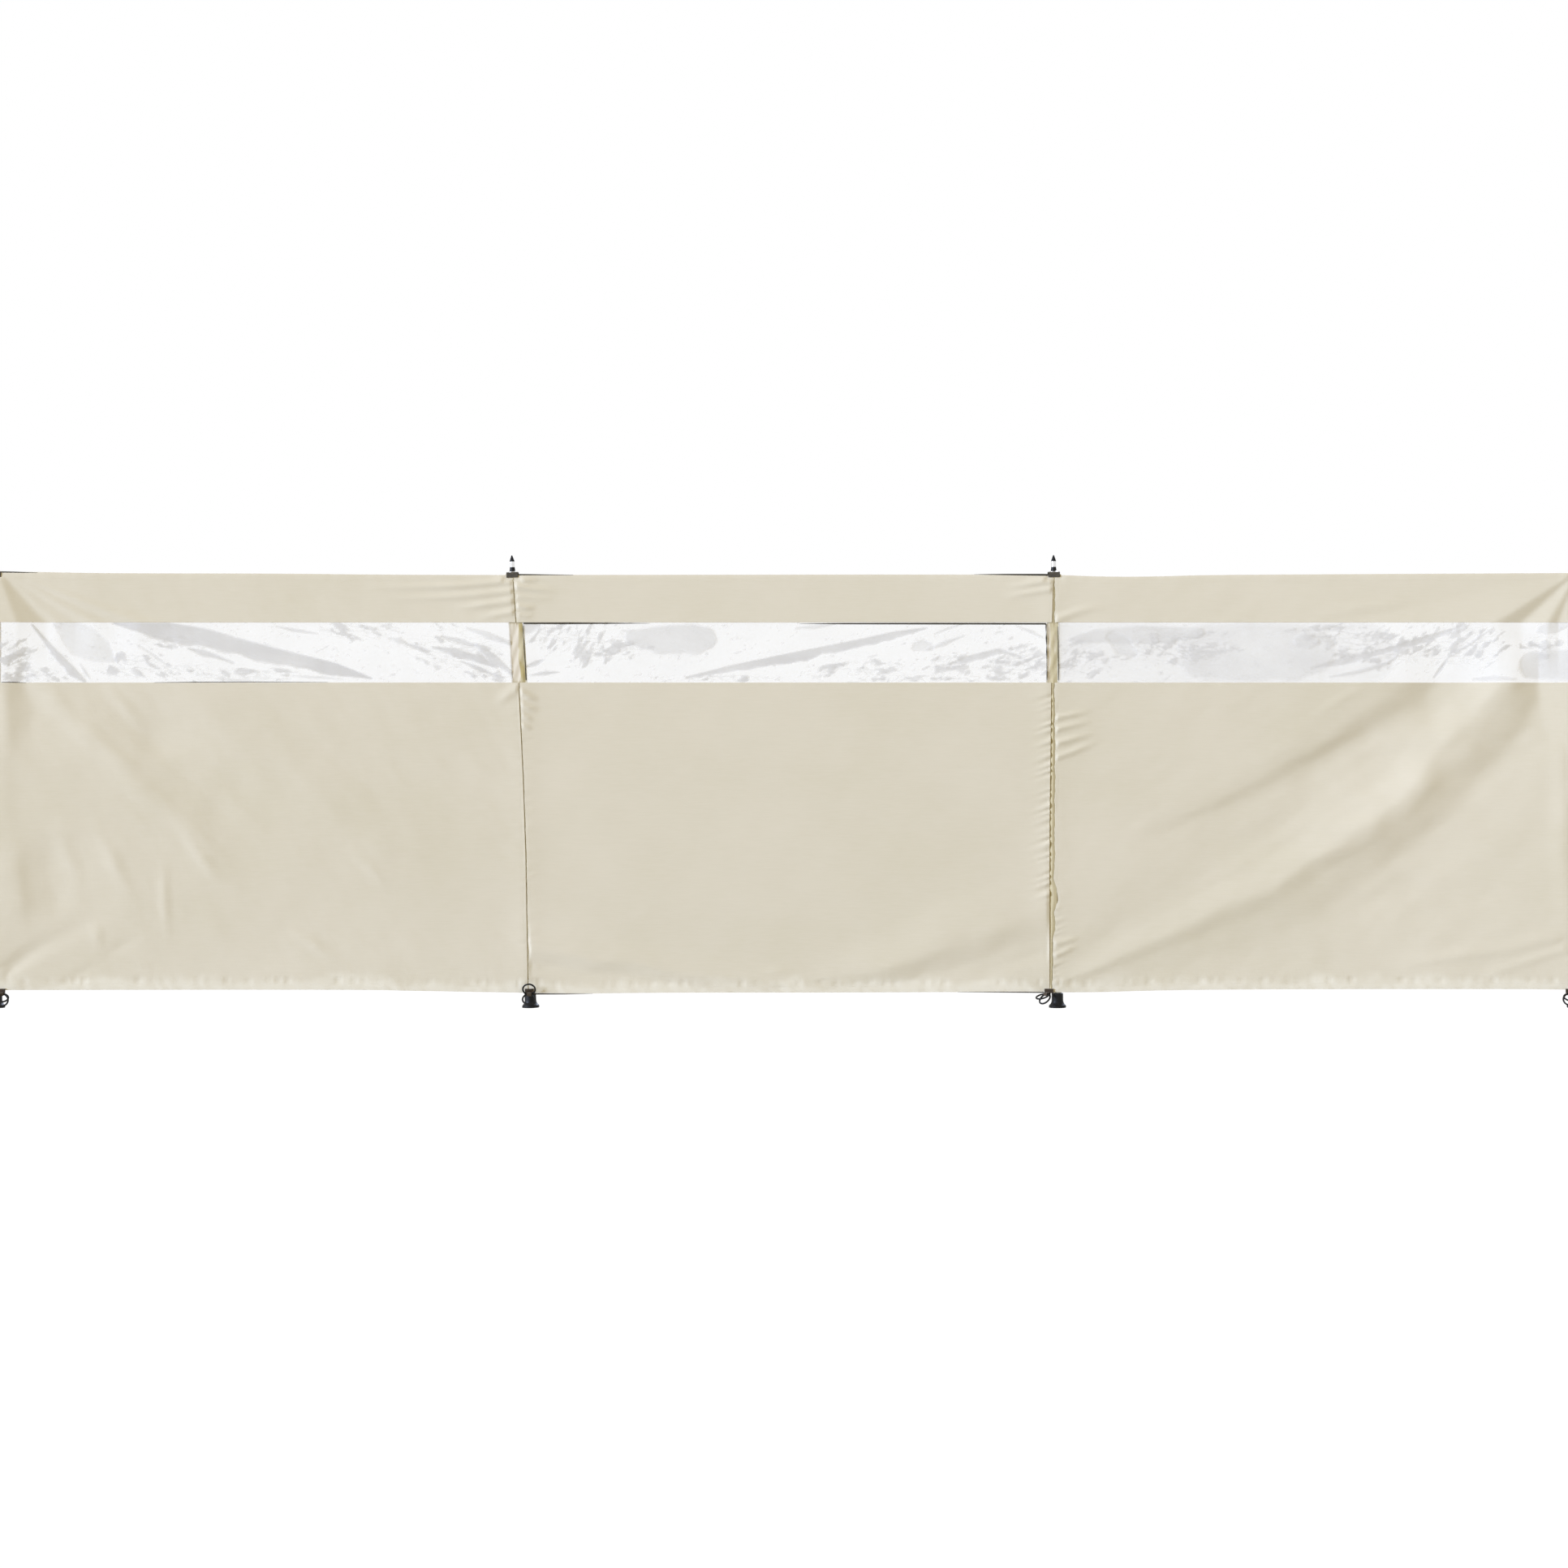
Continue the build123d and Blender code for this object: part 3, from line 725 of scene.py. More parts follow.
class Surface:
    """A material with one Principled shader, and short calls for its nodes."""

    def __init__(self, name, colour, roughness, **inputs):
        self.material = bpy.data.materials.new(name)
        self.material.use_nodes = True
        self.tree = self.material.node_tree
        self.shader = self.tree.nodes["Principled BSDF"]
        self.place = add(self.tree, "TexCoord", {}).outputs["Object"]
        self.wear(Base_Color=colour, Roughness=roughness, **inputs)

    def wear(self, **inputs):
        """Sets or links inputs of the shader."""
        for name, value in inputs.items():
            put(self.tree, self.shader.inputs[name.replace("_", " ")], value)

    def noise(self, scale, detail=3, roughness=0.5):
        place = add(self.tree, "Mapping", {"Vector": self.place, "Scale": scale}).outputs["Vector"]
        inputs = {"Vector": place, "Scale": 1, "Detail": detail, "Roughness": roughness}
        return add(self.tree, "TexNoise", inputs).outputs["Fac"]

    def threads(self, direction, spacing, wander=1.5):
        """Fine parallel ribs across one axis."""
        inputs = {"Vector": self.place, "Scale": 1 / spacing / RIBS_AT_ONE}
        inputs |= {"Distortion": wander, "Detail Scale": RIB_DETAIL}
        return add(self.tree, "TexWave", inputs, bands_direction=direction).outputs["Fac"]

    def attribute(self, name):
        return add(self.tree, "Attribute", {}, attribute_name=name).outputs["Fac"]

    def maths(self, operation, a, b):
        return maths(self.tree, operation, a, b)

    def ramp(self, fac, places, colours):
        node = add(self.tree, "ValToRGB", {"Fac": fac})
        elements = node.color_ramp.elements
        while len(elements) < len(places):
            elements.new(0.5)
        for element, place, colour in zip(elements, places, colours):
            element.position = place
            element.color = colour
        return node.outputs["Color"]

    def spread(self, fac, low, high):
        """A number between low and high, as the fac goes from 0 to 1."""
        return add(self.tree, "MapRange", {"Value": fac, "To Min": low, "To Max": high}).outputs["Result"]

    def blend(self, fac, a, b):
        inputs = {MIX_FACTOR: fac, MIX_A: a, MIX_B: b}
        return add(self.tree, "Mix", inputs, data_type="RGBA").outputs[MIX_COLOUR]

    def bump(self, height, strength, distance):
        node = add(self.tree, "Bump", {"Height": height, "Strength": strength, "Distance": distance})
        self.wear(Normal=node.outputs["Normal"])


CLOTH_COLOURS = (linear(212, 205, 184), linear(217, 210, 192), linear(221, 214, 197))  # warm, plain and pale
# The panels' cloth darkened with painted shade, as it looks deep in the seams
SLEEVE_SHADED_COLOURS = (linear(193, 182, 148), linear(202, 192, 160), linear(207, 198, 168))
THREAD_COLOURS = (linear(214, 207, 190), linear(222, 216, 200), linear(228, 223, 208))
# Painted light along the hems, where their rolled edges catch the light
HEM_PAINTED_LIGHT = linear(229, 224, 209)
# Painted light: a strip's lit half and its highlights, and the tubes' backs
SLEEVE_PAINTED_LIGHT = linear(224, 216, 200)
# Painted shade on the half of a strip that turns away from the light
SLEEVE_PAINTED_SHADE = linear(180, 166, 118)
CLOTH_THREAD = 0.8 * MM
SEWING_THREAD = 0.3 * MM
TONE_SCALE = (2.1, 2.1, 2.7)
TONE_PLACES = (0.25, 0.5, 0.75)
SLUB_SCALE = (26, 26, 420)
SLUB_SHARE = 0.3
FILM_CLEAR = linear(238, 238, 237)
# The grey of the film's faint haze and of its painted reflections
FILM_HAZE_AND_REFLECTION = linear(221, 220, 219)
FILM_CLOUD_SCALE = (9, 9, 14)
FILM_CLOUD_SHARE = 0.12
FILM_CRUMPLE_SCALE = (24, 24, 64)
FILM_DIMPLE_SCALE = (60, 60, 60)
FILM_OPACITY = (0.15, 0.80)
FILM_ROUGHNESS = (0.08, 0.24)
# Painted reflection along the creases: how fine its lines are, and how grey
CREASE_FINENESS = 15
CREASE_REFLECTION = 0.36
RIB_SPACINGS = {"Z": 1.3 * MM, "X": 2.2 * MM}
RIB_WANDER = 0.6
WEAR_SCALE = (140, 140, 140)
WEAR_PLACES = (0.35, 0.95)
SCUFF_SCALE = (90, 90, 260)
SCUFF_PLACES = (0.55, 0.8)
SCUFF_ROUGHNESS = (-0.1, 0.2)  # more than plain
PIT_SCALE = (1500, 1500, 1500)
STAIN_SCALE = (70, 70, 30)
STAIN_COLOUR = linear(120, 116, 108)
LINE_SCALE = (900, 900, 40)
LINE_ROUGHNESS = (0.7, 1.5)  # times plain


def woven(name, colours, thread):
    """Plain-woven cloth: threads both ways, slubs, and soft changes of tone."""
    made = Surface(
        name, colours[1], roughness=0.86, Sheen_Weight=0.12, Sheen_Roughness=0.45, Specular_IOR_Level=0.2
    )
    tone, slubs = made.noise(TONE_SCALE, detail=4), made.noise(SLUB_SCALE, detail=2)
    tone = made.maths("MULTIPLY", tone, 1 - SLUB_SHARE)
    tone = made.maths("ADD", tone, made.maths("MULTIPLY", slubs, SLUB_SHARE))
    made.base = made.ramp(tone, TONE_PLACES, colours)
    made.wear(Base_Color=made.base)
    weave = made.maths("ADD", made.threads("X", thread), made.threads("Z", thread))
    made.bump(made.maths("ADD", weave, slubs), strength=0.16, distance=0.2 * MM)
    return made


def panel_cloth():
    """The panels' cloth, with painted light along its hems, and a little paler over the top band."""
    made = woven("windbreak_cloth", CLOTH_COLOURS, CLOTH_THREAD)
    made.wear(Base_Color=made.blend(made.attribute("hem_painted_light"), made.base, HEM_PAINTED_LIGHT))
    return made.material


def sleeve_cloth():
    """The sleeves' cloth, darkened with painted shade; on a strip beside a window, painted shade on one half
    and painted light on the other.
    """
    made = woven("sleeve_cloth", SLEEVE_SHADED_COLOURS, CLOTH_THREAD)
    shaded = made.blend(made.attribute("painted_shade"), made.base, SLEEVE_PAINTED_SHADE)
    made.wear(Base_Color=made.blend(made.attribute("painted_light"), shaded, SLEEVE_PAINTED_LIGHT))
    return made.material


def film():
    """Clear soft film, grey with painted reflection along its creases and on its facets, with a faint haze in
    patches.
    """
    made = Surface("window_film", FILM_CLEAR, FILM_ROUGHNESS[0], IOR=1.45, Specular_IOR_Level=0.5)
    grain = made.noise(FILM_CLOUD_SCALE, detail=5, roughness=0.6)
    crumple = made.noise(FILM_CRUMPLE_SCALE, detail=1)
    cloud = made.maths("MULTIPLY", made.maths("SUBTRACT", grain, 0.5), FILM_CLOUD_SHARE)
    away = made.maths("ABSOLUTE", made.maths("SUBTRACT", crumple, 0.5), 0)
    # Painted reflection: thin grey lines along the creases
    line = made.maths("SUBTRACT", 1, made.maths("MULTIPLY", away, CREASE_FINENESS))
    line = made.maths("MULTIPLY", made.maths("MAXIMUM", line, 0), made.attribute("creases"))
    cloud = made.maths("ADD", made.attribute("haze_and_reflection"), cloud)
    cloud = made.maths("ADD", cloud, made.maths("MULTIPLY", line, CREASE_REFLECTION))
    made.wear(
        Base_Color=made.ramp(cloud, (0, 1), (FILM_CLEAR, FILM_HAZE_AND_REFLECTION)),
        Alpha=made.spread(cloud, *FILM_OPACITY),
        Roughness=made.spread(grain, *FILM_ROUGHNESS),
    )
    made.bump(made.noise(FILM_DIMPLE_SCALE), strength=0.08, distance=0.3 * MM)
    return made.material


def webbing(name, colour, worn):
    """Ribbed webbing with worn high threads."""
    made = Surface(name, colour, roughness=0.75, Sheen_Weight=0.2, Specular_IOR_Level=0.25)
    ribs = made.maths("ADD", *(made.threads(*one, RIB_WANDER) for one in RIB_SPACINGS.items()))
    wear = made.maths("MULTIPLY", ribs, made.noise(WEAR_SCALE, detail=4, roughness=0.7))
    made.wear(Base_Color=made.ramp(wear, WEAR_PLACES, (colour, worn)))
    made.bump(ribs, strength=0.5, distance=0.4 * MM)
    return made.material


def moulded(name, colour, scuffed, roughness):
    """Moulded plastic or rubber with a fine grain and a few scuffs."""
    made = Surface(name, colour, roughness, Specular_IOR_Level=0.22)
    scuffs = made.noise(SCUFF_SCALE, detail=5, roughness=0.7)
    made.wear(
        Base_Color=made.ramp(scuffs, SCUFF_PLACES, (colour, scuffed)),
        Roughness=made.spread(scuffs, *(roughness + more for more in SCUFF_ROUGHNESS)),
    )
    made.bump(made.noise(PIT_SCALE, detail=2), strength=0.12, distance=0.1 * MM)
    return made.material


def metal(name, colour, roughness, stained):
    """Plated or galvanised metal with drawn lines and slight stains."""
    made = Surface(name, colour, roughness, Metallic=1)
    stains, lines = made.noise(STAIN_SCALE, detail=4), made.noise(LINE_SCALE)
    made.wear(
        Base_Color=made.blend(made.spread(stains, 0, stained), colour, STAIN_COLOUR),
        Roughness=made.spread(lines, *(roughness * times for times in LINE_ROUGHNESS)),
    )
    made.bump(lines, strength=0.06, distance=0.1 * MM)
    return made.material


CLOTH = panel_cloth()
THREAD = woven("sewing_thread", THREAD_COLOURS, SEWING_THREAD).material
SLEEVE = sleeve_cloth()
FILM = film()
WEBBING = webbing("top_webbing", linear(58, 54, 47), linear(104, 98, 86))
TAB_WEBBING = webbing("tab_webbing", linear(44, 35, 26), linear(88, 72, 52))
# A dark webbing finish for the painted shadow lines
PAINTED_SHADOW = webbing("painted_shadow_lines", linear(52, 49, 40), linear(92, 87, 74))
PLASTIC = moulded("black_plastic", linear(11, 11, 11), linear(34, 33, 32), roughness=0.45)
RUBBER = moulded("ring_rubber", linear(14, 13, 12), linear(40, 38, 36), roughness=0.5)
SPIKE = metal("spike_steel", linear(238, 238, 238), roughness=0.22, stained=0.3)
EYELET = metal("eyelet_metal", linear(226, 222, 212), roughness=0.3, stained=0.35)
STEEL = metal("pole_steel", linear(176, 176, 174), roughness=0.4, stained=0.5)

# Cloth panels

# Painted light along the hems: a broad band with a ragged top over the bottom hem, and a narrow one under the
# top edge; the top band is a little paler all over
HEM_PAINTED_LIGHT_SHARE = 0.8
BAND_PALENESS = 0.12
BOTTOM_PALE = 42 * MM
TOP_PALE = 14 * MM
PALE_FADE = 34 * MM
PALE_RAG = 40 * MM
PALE_GRAIN = (34, 20)
PALE_SEED = 7


def cloth_panel(bay, tail, low, high):
    """A panel of a bay's cloth as a thin shell with thicker hems, in place of its CAD solid."""
    inside = np.linspace(low + EDGE_STEP, high - EDGE_STEP, round((high - low) / ROW_STEP) + 1)
    heights = np.concatenate([[low], inside, [high]])
    left, right = bay_edges(bay, heights)
    shares = graded(float(left.min()), float(right.max()))
    x, z = laid_out(left, right, heights, (shares - shares[0]) / (shares[-1] - shares[0]))
    outer = np.minimum(np.abs(z - HEM_Z), np.abs(CLOTH_TOP - z))
    depth = np.where(outer < HEM_WIDTH, HEM_THICKNESS, CLOTH_THICKNESS)
    node = BAYS[bay] + tail
    made = piece(node + "_cloth", *thick(on_cloth(bay, x, z), depth), CLOTH, "cloth")
    # Painted light along the hems, with a ragged top over the bottom hem
    ragged = strays(x, z, PALE_RAG, PALE_SEED + bay, PALE_GRAIN)
    below = smoothstep((BOTTOM_PALE + ragged - (z - HEM_Z)) / PALE_FADE)
    above = smoothstep((TOP_PALE - (CLOTH_TOP - z)) / PALE_FADE)
    band = BAND_PALENESS * (z > WINDOW_MIDDLE)
    attribute(made, "hem_painted_light", np.maximum(HEM_PAINTED_LIGHT_SHARE * np.maximum(below, above), band))
    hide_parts(node)


# Window film

# Facets that look grey with painted reflection: points down the middle of each and its half width there, all
# in the photograph's pixels, and how grey its painted reflection is
FILM_FACETS = {}
FILM_FACETS["left_bay"] = (
    (((140, 768, 1), (205, 779, 12), (250, 785, 11), (330, 807, 10.5), (413, 825, 8), (458, 836, 1)), 0.9),
    (((40, 770, 1), (66, 803, 4), (88, 826, 5), (104, 840, 2)), 0.8),
    (((74, 768, 10), (100, 788, 20), (126, 804, 15), (140, 814, 3)), 0.36),
    (((98, 818, 0.5), (104, 827, 1.6), (110, 836, 0.5)), 0.7),
    (((232, 799, 1), (252, 805, 4), (272, 811, 2), (288, 817, 1)), 0.8),
    (((297, 823, 0.5), (308, 826, 1.6), (319, 828, 0.5)), 0.7),
    (((171, 795, 0.6), (190, 808, 1.2), (206, 820, 0.6)), 0.6),
    (((265, 836, 0.6), (288, 838, 1.8), (310, 839, 0.8)), 0.6),
    (((340, 772, 0.5), (360, 776, 2), (391, 781, 0.8)), 0.7),
    (((484, 787, 1), (492, 789, 4), (500, 792, 1)), 0.6),
    (((500, 793, 0.8), (514, 798, 2.6), (530, 803, 0.8)), 0.8),
    (((532, 797, 1), (560, 804, 5.5), (596, 814, 4), (612, 822, 1)), 0.85),
    (((544, 784, 1), (566, 790, 3.6), (590, 797, 1.5)), 0.7),
    (((588, 795, 2), (608, 811, 5), (630, 829, 2)), 0.7),
    (((568, 815, 0.8), (590, 824, 2.8), (614, 834, 1)), 0.7),
    (((574, 773, 1), (600, 782, 4), (628, 793, 3)), 0.55),
    (((360, 833, 0.6), (392, 835, 1.6), (424, 837, 0.6)), 0.5),
)
FILM_FACETS["centre_bay"] = (
    (((846, 835, 1), (900, 824, 4), (970, 811, 5.5), (1053, 794, 5), (1103, 783, 5), (1142, 774, 1)), 0.9),
    (((780, 786, 10), (820, 788, 18), (858, 787, 18), (868, 786, 14)), 0.55),
    (((650, 821, 1.5), (660, 817, 2.8), (670, 813, 0.8)), 0.8),
    (((652, 832, 0.6), (672, 829, 2.6), (688, 828, 0.6)), 0.7),
    (((1130, 797, 6), (1138, 796, 8), (1146, 797, 5)), 0.55),
    (((1141, 801, 1), (1162, 793, 3), (1188, 783, 0.6)), 0.7),
    (((1164, 820, 0.8), (1196, 812, 4.5), (1230, 802, 3), (1258, 809, 0.8)), 0.8),
    (((980, 774, 1), (1004, 772, 2.2), (1030, 769, 0.6)), 0.6),
    (((1152, 781, 0.6), (1168, 775, 1.6), (1186, 769, 0.6)), 0.6),
    (((1252, 771, 0.6), (1270, 778, 1.8), (1286, 786, 0.6)), 0.6),
    (((640, 772, 6), (652, 772, 8), (664, 772, 3)), 0.5),
)
FILM_FACETS["right_bay"] = (
    (((1306, 806, 40), (1400, 806, 40), (1480, 806, 40), (1560, 806, 40), (1680, 806, 40)), 0.3),
    (((1320, 788, 3), (1350, 784, 9), (1400, 782, 11), (1478, 779, 6)), 0.55),
    (((1372, 786, 8), (1384, 796, 12), (1396, 806, 6)), 0.45),
    (((1486, 804, 34), (1540, 804, 36), (1600, 804, 34), (1618, 804, 26)), 0.4),
    (
        ((1617, 824, 1), (1660, 813, 5), (1690, 806, 3), (1724, 798, 3.5), (1760, 787, 4.6), (1800, 772, 1)),
        0.75,
    ),
    (((1638, 834, 0.8), (1676, 827, 2.6), (1710, 817, 2), (1722, 808, 0.8)), 0.7),
    (((1768, 835, 1), (1776, 824, 2.2), (1784, 812, 1)), 0.8),
    (((1784, 811, 0.6), (1812, 793, 1.4), (1840, 773, 0.6)), 0.6),
    (((1888, 820, 16), (1910, 820, 19), (1940, 820, 19)), 0.55),
    (((1900, 776, 6), (1914, 774, 9), (1926, 770, 6)), 0.5),
    (((1816, 837, 1), (1842, 836, 3.4), (1868, 837, 1)), 0.55),
    (((1602, 790, 8), (1612, 790, 10), (1622, 790, 4)), 0.35),
)
# Clusters of small crinkles: the middle of each, how far it spreads along and up, in pixels, the way its
# crinkles run in degrees from level, rising to the right, and how densely they lie
FILM_CRINKLES = {}
FILM_CRINKLES["left_bay"] = (
    ((20, 814), (18, 24), 25, 0.52),
    ((58, 832), (22, 8), -20, 0.45),
    ((168, 820), (32, 14), -30, 0.52),
    ((205, 790), (36, 8), -15, 0.4),
    ((236, 828), (46, 10), -25, 0.38),
    ((440, 777), (40, 9), -15, 0.45),
    ((560, 800), (52, 22), -22, 0.36),
    ((600, 832), (26, 8), -25, 0.45),
    ((330, 832), (40, 7), -8, 0.4),
)
FILM_CRINKLES["centre_bay"] = (
    ((690, 786), (28, 16), 50, 0.5),
    ((728, 796), (18, 20), 70, 0.5),
    ((762, 798), (28, 14), 15, 0.48),
    ((880, 836), (70, 4), 10, 0.42),
    ((1060, 824), (46, 9), 10, 0.44),
    ((1172, 818), (24, 14), 25, 0.46),
    ((1250, 815), (36, 18), 20, 0.44),
    ((1150, 836), (90, 4), 5, 0.42),
)
FILM_CRINKLES["right_bay"] = (
    ((1330, 815), (26, 20), 30, 0.44),
    ((1450, 800), (60, 20), 15, 0.4),
    ((1700, 800), (60, 18), 25, 0.42),
    ((1800, 795), (46, 22), 35, 0.42),
    ((1900, 796), (22, 12), -10, 0.52),
    ((1640, 780), (46, 10), 15, 0.4),
)
FILM_THICKNESS = 0.4 * MM
FILM_STEP = 3.6 * MM
FILM_LAP_SIDE = 4 * MM
FILM_HOLD = (0.006, 0.08)  # of its width and height, over which its facets die out at the edges
FILM_SEED = 41
FILM_SEED_STEP = 10
BASE_HAZE = 0.05
HAZE_CHANGE = 0.12
HAZE_GRAIN = (90, 40)  # pixels along and across, as are the next
HAZE_WAY = 10
# How strongly painted reflection greys the facets, changing from place to place
REFLECTION_LEAST = 0.7
REFLECTION_CHANGE = 0.5
REFLECTION_GRAIN = (60, 30)
RAG_GRAIN = (22, 9)
RAG_WAYS = {"left_bay": -10, "centre_bay": 15, "right_bay": 15}
FACET_EDGE = 2.2  # pixels, as are the next
FACET_RAG = 5
FACET_BROAD = 6
FACET_SOFTENING = 0.25  # of what a half width has beyond that
FACET_LIFT = 0.9 * MM
CRINKLE_GRAIN = (14, 5.5)
CRINKLE_REACH = 1.5
CRINKLE_FALL = 0.75
CRINKLE_EDGE = 0.22
CRINKLE_START = 0.25
CRINKLE_REFLECTION = 0.75
CREASE_REACH = 1.3
CREASE_FALL = 0.9


def film_facets(bay, x, z):
    """How grey the film is at each place, from a faint haze and painted reflection on its facets and crinkles,
    how far its facets stand forward, and where fine creases lie.
    """
    name, seed = BAYS[bay], FILM_SEED + FILM_SEED_STEP * bay
    haze_and_reflection = BASE_HAZE + HAZE_CHANGE * clouds(x, z, seed, HAZE_GRAIN, HAZE_WAY)
    lift, creases = np.zeros(x.shape), np.zeros(x.shape)
    rag = strays(x, z, FACET_RAG, seed + 1, RAG_GRAIN, RAG_WAYS[name])
    # How strong the painted reflection is, changing from place to place
    tone = REFLECTION_LEAST + REFLECTION_CHANGE * clouds(x, z, seed + 2, REFLECTION_GRAIN)
    for number, (points, painted_reflection) in enumerate(FILM_FACETS[name]):
        points = np.asarray(points, float)
        path, halves = spots(points), points[:, 2]
        near = near_line(x, z, path, (halves.max() + FACET_EDGE + FACET_RAG) * PIXEL)
        distance, side, share = along_line(x[near], z[near], path)
        half = np.interp(share, runs(path) / runs(path)[-1], halves)
        ragged = rag[near] * np.minimum(1.0, half / FACET_BROAD) * (side < 0)
        edge = FACET_EDGE + FACET_SOFTENING * np.maximum(half - FACET_BROAD, 0)
        inside = smoothstep((half + ragged - distance / PIXEL) / edge + 0.5)
        # Painted reflection greys the film on each facet
        haze_and_reflection[near] += painted_reflection * inside * tone[near] * (1 - haze_and_reflection[near])
        lift[near] += FACET_LIFT * inside * (1 if number % 2 else -1)
    for number, (centre, (spread, rise), way, density) in enumerate(FILM_CRINKLES[name]):
        (cx, cz), grain = spots([centre])[0], clouds(x, z, seed + 3 + number, CRINKLE_GRAIN, way)
        away = np.hypot((x - cx) / spread, (z - cz) / rise) / PIXEL
        present = smoothstep(CRINKLE_REACH - CRINKLE_FALL * away)
        inside = smoothstep((grain - (1 - density * present)) / CRINKLE_EDGE + CRINKLE_START)
        # Painted reflection greys the film on its crinkles
        haze_and_reflection += CRINKLE_REFLECTION * inside * tone * (1 - haze_and_reflection)
        lift += FACET_LIFT * (grain - 0.5) * present
        creases = np.maximum(creases, smoothstep(CREASE_REACH - CREASE_FALL * away))
    return np.clip(haze_and_reflection, 0.0, 1.0), lift, creases


def film_edges(bay, z):
    """The side edges of a bay's film, lapped onto the strips beside it."""
    left, right = POLES[bay], POLES[bay + 1]
    left_edge = seam_x(left, z) + STRIP_SIDES[left][1] - FILM_LAP_SIDE
    return left_edge, seam_x(right, z) + STRIP_SIDES[right][0] + FILM_LAP_SIDE


def window_film(bay):
    """A bay's window as one crinkled sheet of clear film, sewn behind the cloth above and below it."""
    low, high = WINDOW_BOTTOM - FILM_LAP, WINDOW_TOP + FILM_LAP
    heights = np.linspace(low, high, round((high - low) / FILM_STEP) + 1)
    left, right = film_edges(bay, heights)
    shares = np.linspace(0, 1, round(float((right - left).max()) / FILM_STEP) + 1)
    x, z = laid_out(left, right, heights, shares)
    rise = (z - WINDOW_BOTTOM) / (WINDOW_TOP - WINDOW_BOTTOM)
    held = smoothstep(np.minimum(shares, 1 - shares) / FILM_HOLD[0])
    held = held * smoothstep(np.minimum(rise, 1 - rise) / FILM_HOLD[1])
    below, above = relief(bay, x, np.minimum(z, WINDOW_BOTTOM)), relief(bay, x, np.maximum(z, WINDOW_TOP))
    haze_and_reflection, facets, creases = film_facets(bay, x, z)
    lift = below + (above - below) * np.clip(rise, 0.0, 1.0) + held * facets
    node = BAYS[bay] + "_window"
    sheet = thick(np.stack([x, FILM_FRONT - lift, z], axis=2), FILM_THICKNESS)
    made = piece(node + "_film", *sheet, FILM, "window_film")
    attribute(made, "haze_and_reflection", haze_and_reflection)
    attribute(made, "creases", creases)
    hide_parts(node)


# Sleeves

TUBE_STEPS = 40
TUBE_ROW = 12 * MM
TUBE_WRINKLE = 0.7 * MM
TUBE_RIPPLE = ((3, 31, 0, 1), (5, -57, 1, 1), (2, 113, 0, 1))
TUBE_INWARD = 0.4  # of a wrinkle, by which the tube lies within its radius
# How much painted light lifts the tubes out of the sleeves' painted shade
TUBE_PALENESS = 0.7
STRIP_COLUMNS = 33
# A strip's lit half and its blotches of highlight are painted light
STRIP_TURNS = {"left_inner": 2.0, "right_inner": -1.8}  # where the pale half ends, in pixels
STRIP_STRAY = 5.0  # pixels, by which that end strays
# How strongly painted shade darkens the half of a strip that turns away from the light
STRIP_PAINTED_SHADE = {"left_inner": 1.0}  # how dark the other half is
STRIP_GRAIN = (9, 12)
STRIP_SEED, HIGHLIGHT_SEED, SHADE_SEED = 5, 6, 8
HIGHLIGHTS, SHADES = (4, 2.9), (2.4, 0.7)  # contrast and floor
STRIP_CRINKLE = 0.7 * MM
STRIP_RIPPLE = ((210, 160, 0, 1), (97, -240, 0.8, 1))
STRIP_ROLL = 0.8 * MM
STRIP_ROLL_WIDTH = 7 * MM
STRIP_RISE = 9 * MM
SEAM_WELT = {"left_inner": 2.4 * MM, "right_inner": 1.7 * MM}
SEAM_WELT_SHARE = 0.36  # of the gap that the sleeve bulges into


def sleeve_tube(pole, heights):
    """The tube that a pole slides through, and its painted light: all round at the ends, and at its back
    behind a seam.
    """
    turns = np.linspace(0, math.tau, TUBE_STEPS + 1)[:-1]
    centre, z = pole_x(pole, heights)[:, None], np.repeat(heights[:, None], TUBE_STEPS, axis=1)
    wrinkle = ripple(TUBE_RIPPLE, turns, z) / len(TUBE_RIPPLE) - TUBE_INWARD

    def ring(inward):
        radius = SLEEVE_RADIUS + TUBE_WRINKLE * wrinkle - inward
        return np.stack([centre + radius * np.cos(turns), radius * np.sin(turns), z], axis=2)

    behind = smoothstep(0.5 + np.sin(turns)) if pole in SEAM_POINTS else np.ones(TUBE_STEPS)
    # Painted light, lifting the tube's back out of the sleeve's painted shade
    painted_light = np.tile(TUBE_PALENESS * behind, (len(heights), 1))
    return shell(ring(0.0), ring(CLOTH_THICKNESS), closed_round=True), painted_light


